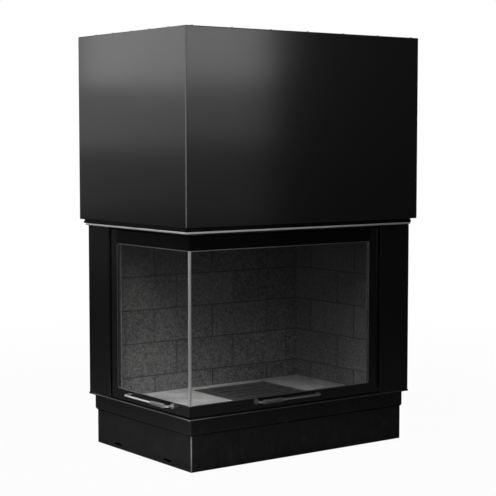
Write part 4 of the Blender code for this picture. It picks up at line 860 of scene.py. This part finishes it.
class FIREPLACE_OT_screws(Operator):
    """Adds the screws of the casing and the door"""

    bl_idname = "fireplace.screws"
    bl_label = "Add Screws"

    def execute(self, context):
        colours = context.scene.fireplace_finishes
        look = brushed_steel("screw_steel", colours.zinc, (1.0, 1.0, 1.0), 0.32)
        tree = screw_group()
        case = grow_screws("case_screws", self.case_seats(), look, tree)
        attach(case, "case")
        door = grow_screws("door_screws", self.door_seats(), look, tree)
        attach(door, "door")
        return {"FINISHED"}

    def case_seats(self):
        """Rows on the back sheet, the hood's back, right side and rim, the right cover, and the roof."""
        seats = []
        for z in spread(BACK_LOW.z, BACK_HIGH.z, 3, BACK_END):
            for x in spread(BACK_LOW.x, BACK_HIGH.x, 5, BACK_EDGE):
                seats.append((Vector((x, BACK_HIGH.y, z)), Y_WAY))
        for z in (HOOD_LOW.z + HOOD_FOOT, HOOD_HIGH.z - HOOD_HEAD):
            for x in spread(HOOD_LOW.x, HOOD_HIGH.x, 5, HOOD_END):
                seats.append((Vector((x, CASE_HIGH.y, z)), Y_WAY))
        for z in spread(HOOD_LOW.z, HOOD_HIGH.z, 4, SIDE_END):
            seats.append((Vector((CASE_HIGH.x, CASE_HIGH.y - SIDE_EDGE, z)), X_WAY))
        for z in spread(COVER_LOW.z, COVER_HIGH.z, 4, SIDE_END):
            seats.append((Vector((COVER_HIGH.x, COVER_HIGH.y - SIDE_EDGE, z)), X_WAY))
        for y in (CASE_LOW.y + RIM_EDGE, CASE_HIGH.y - RIM_EDGE):
            for x in spread(CASE_LOW.x, CASE_HIGH.x, 7, RIM_END):
                seats.append((Vector((x, y, HOOD_HIGH.z)), Z_WAY))
        for x in (CASE_LOW.x + RIM_EDGE, CASE_HIGH.x - RIM_EDGE):
            for y in spread(CASE_LOW.y, CASE_HIGH.y, 5, RIM_SIDE_END):
                seats.append((Vector((x, y, HOOD_HIGH.z)), Z_WAY))
        for label in ("left", "right"):
            low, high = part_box(f"pulley_bracket_{label}")
            middle = (low + high) / 2
            along = (X_WAY if label == "left" else Y_WAY) * BRACKET_REACH
            for side in (-1, 1):
                place = middle + along * side
                seats.append((Vector((place.x, place.y, ROOF_HIGH.z)), Z_WAY))
        return seats

    def door_seats(self):
        """One column on each carriage, whose heads face into the casing."""
        seats = []
        for label, run, inward in (("right", X_WAY, Y_WAY), ("left", Y_WAY, X_WAY)):
            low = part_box(f"carriage_{label}")[0]
            stile_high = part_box(f"stile_{label}")[1]
            start, end = low.dot(run), stile_high.dot(run)
            depth = stile_high.dot(inward) + CARRIAGE_BACK
            for z in spread(low.z, stile_high.z, 5, CARRIAGE_END):
                place = run * ((start + end) / 2) + inward * depth + Z_WAY * z
                seats.append((place, inward))
        return seats


class FIREPLACE_OT_ropes(Operator):
    """Lays the door's rope seals and winds the lifting cables"""

    bl_idname = "fireplace.ropes"
    bl_label = "Add Ropes"

    def execute(self, context):
        colours = context.scene.fireplace_finishes
        sizes = context.scene.fireplace_ropes
        tree = rope_group()
        fibre = fibre_rope("fibre_seal", colours.seal)
        radius = sizes.seal_radius
        x, y = LEDGE_LOW.x + SILL_SEAL_EDGE, LEDGE_LOW.y + SILL_SEAL_EDGE
        z = LEDGE_HIGH.z + radius + HAIR
        line = corner_line(x, y, z, RIGHT_STILE_HIGH.x, LEFT_STILE_HIGH.y, SEAL_BEND)
        sill = grow_rope("sill_seal", line, radius, sizes.seal_lay, fibre, tree)
        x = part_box("smoke_dome_left")[0].x - radius - HAIR
        y = SKIRT_LOW.y - radius - HAIR
        z = SKIRT_LOW.z + LINTEL_SEAL_RISE
        x_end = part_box("carriage_right")[0].x - LINTEL_SEAL_END
        y_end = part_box("carriage_left")[0].y - LINTEL_SEAL_END
        line = corner_line(x, y, z, x_end, y_end, SEAL_BEND)
        lintel = grow_rope("lintel_seal", line, radius, sizes.seal_lay, fibre, tree)
        for seal in (sill, lintel):
            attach(seal, "case")
        wire = brushed_steel("wire_steel", colours.wire, (1.0, 1.0, 1.0), 0.34)
        for label in ("right", "left"):
            self.lifting_cable(label, sizes, wire, tree)
        return {"FINISHED"}

    def lifting_cable(self, label, sizes, wire, tree):
        """A cable's run down to the door, its turn over the pulley, and its run down to the weight."""
        cable = f"cable_{label}"
        low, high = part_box(cable)
        wheel_low, wheel_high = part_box(f"pulley_{label}")
        hub = (wheel_low + wheel_high) / 2
        inward = Y_WAY if label == "right" else X_WAY
        pitch_radius = (high - low).dot(inward) / 2 - sizes.wire_radius
        carriage_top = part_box(f"carriage_{label}")[1].z
        weight_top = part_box(f"counterweight_{label}")[1].z
        near, far = hub - inward * pitch_radius, hub + inward * pitch_radius
        arc = []
        for k in range(PULLEY_STEPS + 1):
            angle = math.pi * k / PULLEY_STEPS
            level = inward * pitch_radius * math.cos(angle)
            rise = Z_WAY * pitch_radius * math.sin(angle)
            arc.append(hub - level + rise)
        runs = (
            ("door_run", near, carriage_top, "door"),
            ("weight_run", far, weight_top, f"counterweight_{label}"),
        )
        over = grow_rope(f"{cable}_over_pulley", arc, sizes.wire_radius, sizes.wire_lay, wire, tree)
        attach(over, "case")
        made = [over]
        for part, top, bottom, body in runs:
            foot = Vector((top.x, top.y, bottom))
            run = grow_rope(f"{cable}_{part}", [top, foot], sizes.wire_radius, sizes.wire_lay, wire, tree)
            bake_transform(run)
            made.append(run)
            sleeve = self.crimped_sleeve(f"{cable}_{part}_sleeve", foot, sizes.wire_radius, wire)
            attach(sleeve, body)
            made.append(sleeve)
        for piece in made:
            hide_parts(cable)

    def crimped_sleeve(self, name, foot, wire, look):
        """The sleeve pressed on a cable's end, waisted at each of its crimps."""
        bore, outside = wire * 1.06, wire * 2.1
        mouth, waist = outside * 0.9, outside * 0.86
        height, bevel, crimps = 0.020, 0.001, 3
        profile = [(bore, 0.0), (mouth, 0.0), (outside, bevel)]
        pitch = (height - 2 * bevel) / crimps
        for k in range(crimps):
            start = bevel + pitch * k
            for share, radius in ((0.2, outside), (0.35, waist), (0.65, waist), (0.8, outside)):
                profile.append((radius, start + pitch * share))
        profile += [(outside, height - bevel), (mouth, height), (bore, height)]
        return turned(name, profile, foot + Z_WAY * 2 * HAIR, 20, look)


class FIREPLACE_OT_beads(Operator):
    """Adds the beads round the panes, along the sill's edge with a painted highlight, and a dark one of
    painted shade under the plinth's band
    """

    bl_idname = "fireplace.beads"
    bl_label = "Add Beads"

    def execute(self, context):
        colours = context.scene.fireplace_finishes
        tree = bead_group()
        self.round_panes(colours, tree)
        self.along_sill(colours, tree)
        self.under_band(colours, tree)
        return {"FINISHED"}

    def round_panes(self, colours, tree):
        """A bead in the angle between each pane and its frame."""
        look = brushed_steel("bead_steel", rgba(colours.rod, 0.5)[:3], (1.0, 1.0, 1.0), 0.30)
        inset = GLAZING_BEAD + HAIR
        front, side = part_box("glass_front")[0].y - inset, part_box("glass_side")[0].x - inset
        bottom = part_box("rail_bottom_front")[1].z + inset
        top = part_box("rail_top_front")[0].z - inset
        corner_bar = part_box("glass_corner_joint")[1]
        runs = (
            ("front", X_WAY, Y_WAY * front, corner_bar.x + inset, RIGHT_STILE_LOW.x - inset),
            ("side", Y_WAY, X_WAY * side, corner_bar.y + inset, LEFT_STILE_LOW.y - inset),
        )
        for label, run, depth, start, end in runs:
            places = ((start, bottom), (end, bottom), (end, top), (start, top))
            line = rounded([run * along + depth + Z_WAY * z for along, z in places], GLAZING_BEND)
            bead = grow_bead(f"glazing_bead_{label}", line, GLAZING_BEAD, look, tree)
            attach(bead, "door")

    def along_sill(self, colours, tree):
        """The ledge's edge bead, round its corner and short of its ends, with a painted highlight at the
        corner.
        """
        corner = (LEDGE_LOW.x, LEDGE_LOW.y, (LEDGE_LOW.z + LEDGE_HIGH.z) / 2)
        ends = (LEDGE_HIGH.x - SILL_BEAD_END, LEDGE_HIGH.y - SILL_BEAD_END)
        look = edge_painted_glint("rubbed_edge_steel", colours.rod, corner)
        sill = grow_bead("sill_edge_bead", corner_line(*corner, *ends, SILL_BEND), SILL_BEAD, look, tree)
        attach(sill, "case")

    def under_band(self, colours, tree):
        """A dark strip along the joint between the plinth and its band: painted shade where the band's
        edge shades the joint.
        """
        low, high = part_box("plinth_base")
        inset = PLINTH_BEAD + HAIR
        z = high.z - PLINTH_BEAD
        line = corner_line(low.x - inset, low.y - inset, z, high.x, high.y, PLINTH_BEND)
        # Nearly black: a painted shade line under the band
        look = fibre_rope("shade_strip_black", rgba(colours.seal, 0.1)[:3])
        strip = grow_bead("plinth_painted_shade_line", line, PLINTH_BEAD, look, tree)
        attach(strip, "case")


class FIREPLACE_OT_stage(Operator):
    """Sets up the floor, the lights and the camera"""

    bl_idname = "fireplace.stage"
    bl_label = "Set Up Studio"

    def execute(self, context):
        studio = context.scene.fireplace_studio
        white_floor(FLOOR_HALF)
        white_world(studio.fill)
        for lamp in LAMPS:
            softbox(*lamp)
        eye = bpy.data.cameras.new("view_camera")
        eye.lens = studio.lens
        eye.sensor_width = SENSOR_WIDTH
        eye.sensor_fit = "HORIZONTAL"
        stand = bpy.data.objects.new("view_camera", eye)
        context.scene.collection.objects.link(stand)
        stand.location = studio.eye
        stand.rotation_euler = (math.pi / 2 - studio.elevation, 0.0, studio.azimuth)
        context.scene.camera = stand
        context.scene.view_settings.view_transform = "Standard"
        return {"FINISHED"}


def ray_kinds(tree):
    """Which rays see the plain white, straight or through a pane, and which see it in gloss.

    Rays that left a matt surface see neither, so that the white adds no light indoors.
    """
    rays = add(tree, "ShaderNodeLightPath").outputs
    unlit = sum_of(tree, "LESS_THAN", rays["Diffuse Depth"], 0.5)
    bounced = sum_of(tree, "GREATER_THAN", rays["Glossy Depth"], 0.5)
    through = sum_of(tree, "MULTIPLY", rays["Is Transmission Ray"], unlit)
    straight = sum_of(tree, "MULTIPLY", through, sum_of(tree, "SUBTRACT", 1.0, bounced))
    plain = sum_of(tree, "MAXIMUM", rays["Is Camera Ray"], straight)
    glossy = sum_of(tree, "MULTIPLY", rays["Is Glossy Ray"], unlit)
    mirrored = sum_of(tree, "MAXIMUM", glossy, sum_of(tree, "MULTIPLY", through, bounced))
    return plain, mirrored


def white_floor(half):
    """A pale floor, seen as plain white behind the object. It keeps the object's soft shadow."""
    corners = [(-half, -half, 0), (half, -half, 0), (half, half, 0), (-half, half, 0)]
    floor = object_of("studio_floor", corners, (), [(0, 1, 2, 3)])
    look = bpy.data.materials.new("pale_floor")
    look.use_nodes = True
    tree = look.node_tree
    tree.nodes.remove(tree.nodes["Principled BSDF"])
    matt = add(tree, "ShaderNodeBsdfDiffuse", {"Color": FLOOR_GREY}).outputs["BSDF"]
    plain = add(tree, "ShaderNodeEmission", {"Color": WHITE}).outputs["Emission"]
    place = add(tree, "ShaderNodeTexCoord").outputs["Object"]
    straight, glossy = ray_kinds(tree)
    reach = add(tree, "ShaderNodeVectorMath", {0: place}, operation="LENGTH").outputs["Value"]
    behind = vector_sum(tree, "DOT_PRODUCT", place, BACKDROP_WAY, "Value")
    low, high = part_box("plinth_base")
    middle, half_size = (low + high) / 2, (high - low) / 2
    apart = vector_sum(tree, "SUBTRACT", place, middle, "Vector")
    flat = add(tree, "ShaderNodeSeparateXYZ", {"Vector": apart}).outputs
    beside_x = sum_of(tree, "SUBTRACT", sum_of(tree, "ABSOLUTE", flat["X"]), half_size.x)
    beside_y = sum_of(tree, "SUBTRACT", sum_of(tree, "ABSOLUTE", flat["Y"]), half_size.y)
    beside = sum_of(tree, "MAXIMUM", beside_x, beside_y)
    outside = ranged(tree, beside, 0.0, 1.0, -WHITE_INSET, 0.0)
    open_share = sum_of(tree, "MULTIPLY", outside, ranged(tree, reach, NEAR_SHARE, 1.0, NEAR, FAR))
    gloss_share = ranged(tree, behind, 0.0, 1.0, GLOSS_NEAR, GLOSS_FAR)
    mirrored = sum_of(tree, "MULTIPLY", glossy, gloss_share)
    share = sum_of(tree, "MULTIPLY", sum_of(tree, "MAXIMUM", straight, mirrored), open_share)
    mix_surface(tree, share, matt, plain)
    floor.data.materials.append(look)


def white_world(fill):
    """White where the camera or a pane shows it, white in gloss toward the backdrop, dim elsewhere."""
    world = bpy.data.worlds.new("studio_world")
    world.use_nodes = True
    bpy.context.scene.world = world
    tree = world.node_tree
    back = tree.nodes["Background"]
    back.inputs["Color"].default_value = WHITE
    plain, glossy = ray_kinds(tree)
    way = add(tree, "ShaderNodeTexCoord").outputs["Generated"]
    side = vector_sum(tree, "DOT_PRODUCT", way, BACKDROP_WAY, "Value")
    sweep = ranged(tree, side, 0.05, 1.0, 0.35, 0.75)
    gloss = sum_of(tree, "MULTIPLY", glossy, sweep)
    matt = sum_of(tree, "SUBTRACT", 1.0, sum_of(tree, "MAXIMUM", plain, glossy))
    light = sum_of(tree, "ADD", gloss, sum_of(tree, "MULTIPLY", matt, fill))
    feed(tree, back.inputs["Strength"], sum_of(tree, "MAXIMUM", plain, light))


def softbox(name, place, aim, size, radiance, beam=math.pi):
    """A rectangular lamp that faces a point, as bright as asked per unit of its own area.

    A grid narrows a lamp to a beam, and its power is cut to keep the lamp as bright as asked.
    """
    lamp = bpy.data.lights.new(name, "AREA")
    lamp.shape = "RECTANGLE"
    lamp.size, lamp.size_y = size
    lamp.spread = beam
    lamp.energy = radiance * math.pi * size[0] * size[1]
    if beam < math.pi:
        slope = math.tan(beam / 2)
        lamp.energy *= (slope - beam / 2) / slope
    stand = bpy.data.objects.new(name, lamp)
    bpy.context.scene.collection.objects.link(stand)
    stand.location = place
    stand.rotation_euler = (Vector(aim) - Vector(place)).to_track_quat("-Z", "Y").to_euler()
    stand.visible_camera = False


class FIREPLACE_PT_panel(Panel):
    """Lists the steps and the sizes of the fireplace"""

    bl_idname = "FIREPLACE_PT_panel"
    bl_label = "Corner Fireplace"
    bl_space_type = "VIEW_3D"
    bl_region_type = "UI"
    bl_category = "Fireplace"

    def draw(self, context):
        for step in STEPS:
            self.layout.operator(step.bl_idname)
        for group, name in GROUPS:
            box = self.layout.box()
            for key in group.__annotations__:
                box.prop(getattr(context.scene, name), key)


GROUPS = (
    (Finishes, "fireplace_finishes"),
    (Fasteners, "fireplace_fasteners"),
    (Ropes, "fireplace_ropes"),
    (Studio, "fireplace_studio"),
)
STEPS = (
    FIREPLACE_OT_casing,
    FIREPLACE_OT_firebox,
    FIREPLACE_OT_metalwork,
    FIREPLACE_OT_screws,
    FIREPLACE_OT_ropes,
    FIREPLACE_OT_beads,
    FIREPLACE_OT_stage,
)


def register():
    for group, name in GROUPS:
        bpy.utils.register_class(group)
        setattr(bpy.types.Scene, name, PointerProperty(type=group))
    for step in STEPS:
        bpy.utils.register_class(step)
    bpy.utils.register_class(FIREPLACE_PT_panel)


def unregister():
    bpy.utils.unregister_class(FIREPLACE_PT_panel)
    for step in reversed(STEPS):
        bpy.utils.unregister_class(step)
    for group, name in reversed(GROUPS):
        delattr(bpy.types.Scene, name)
        bpy.utils.unregister_class(group)


def main():
    register()
    bpy.ops.fireplace.stage()
    bpy.ops.fireplace.casing()
    bpy.ops.fireplace.firebox()
    bpy.ops.fireplace.metalwork()
    bpy.ops.fireplace.screws()
    bpy.ops.fireplace.ropes()
    bpy.ops.fireplace.beads()


if __name__ == "__main__":
    main()
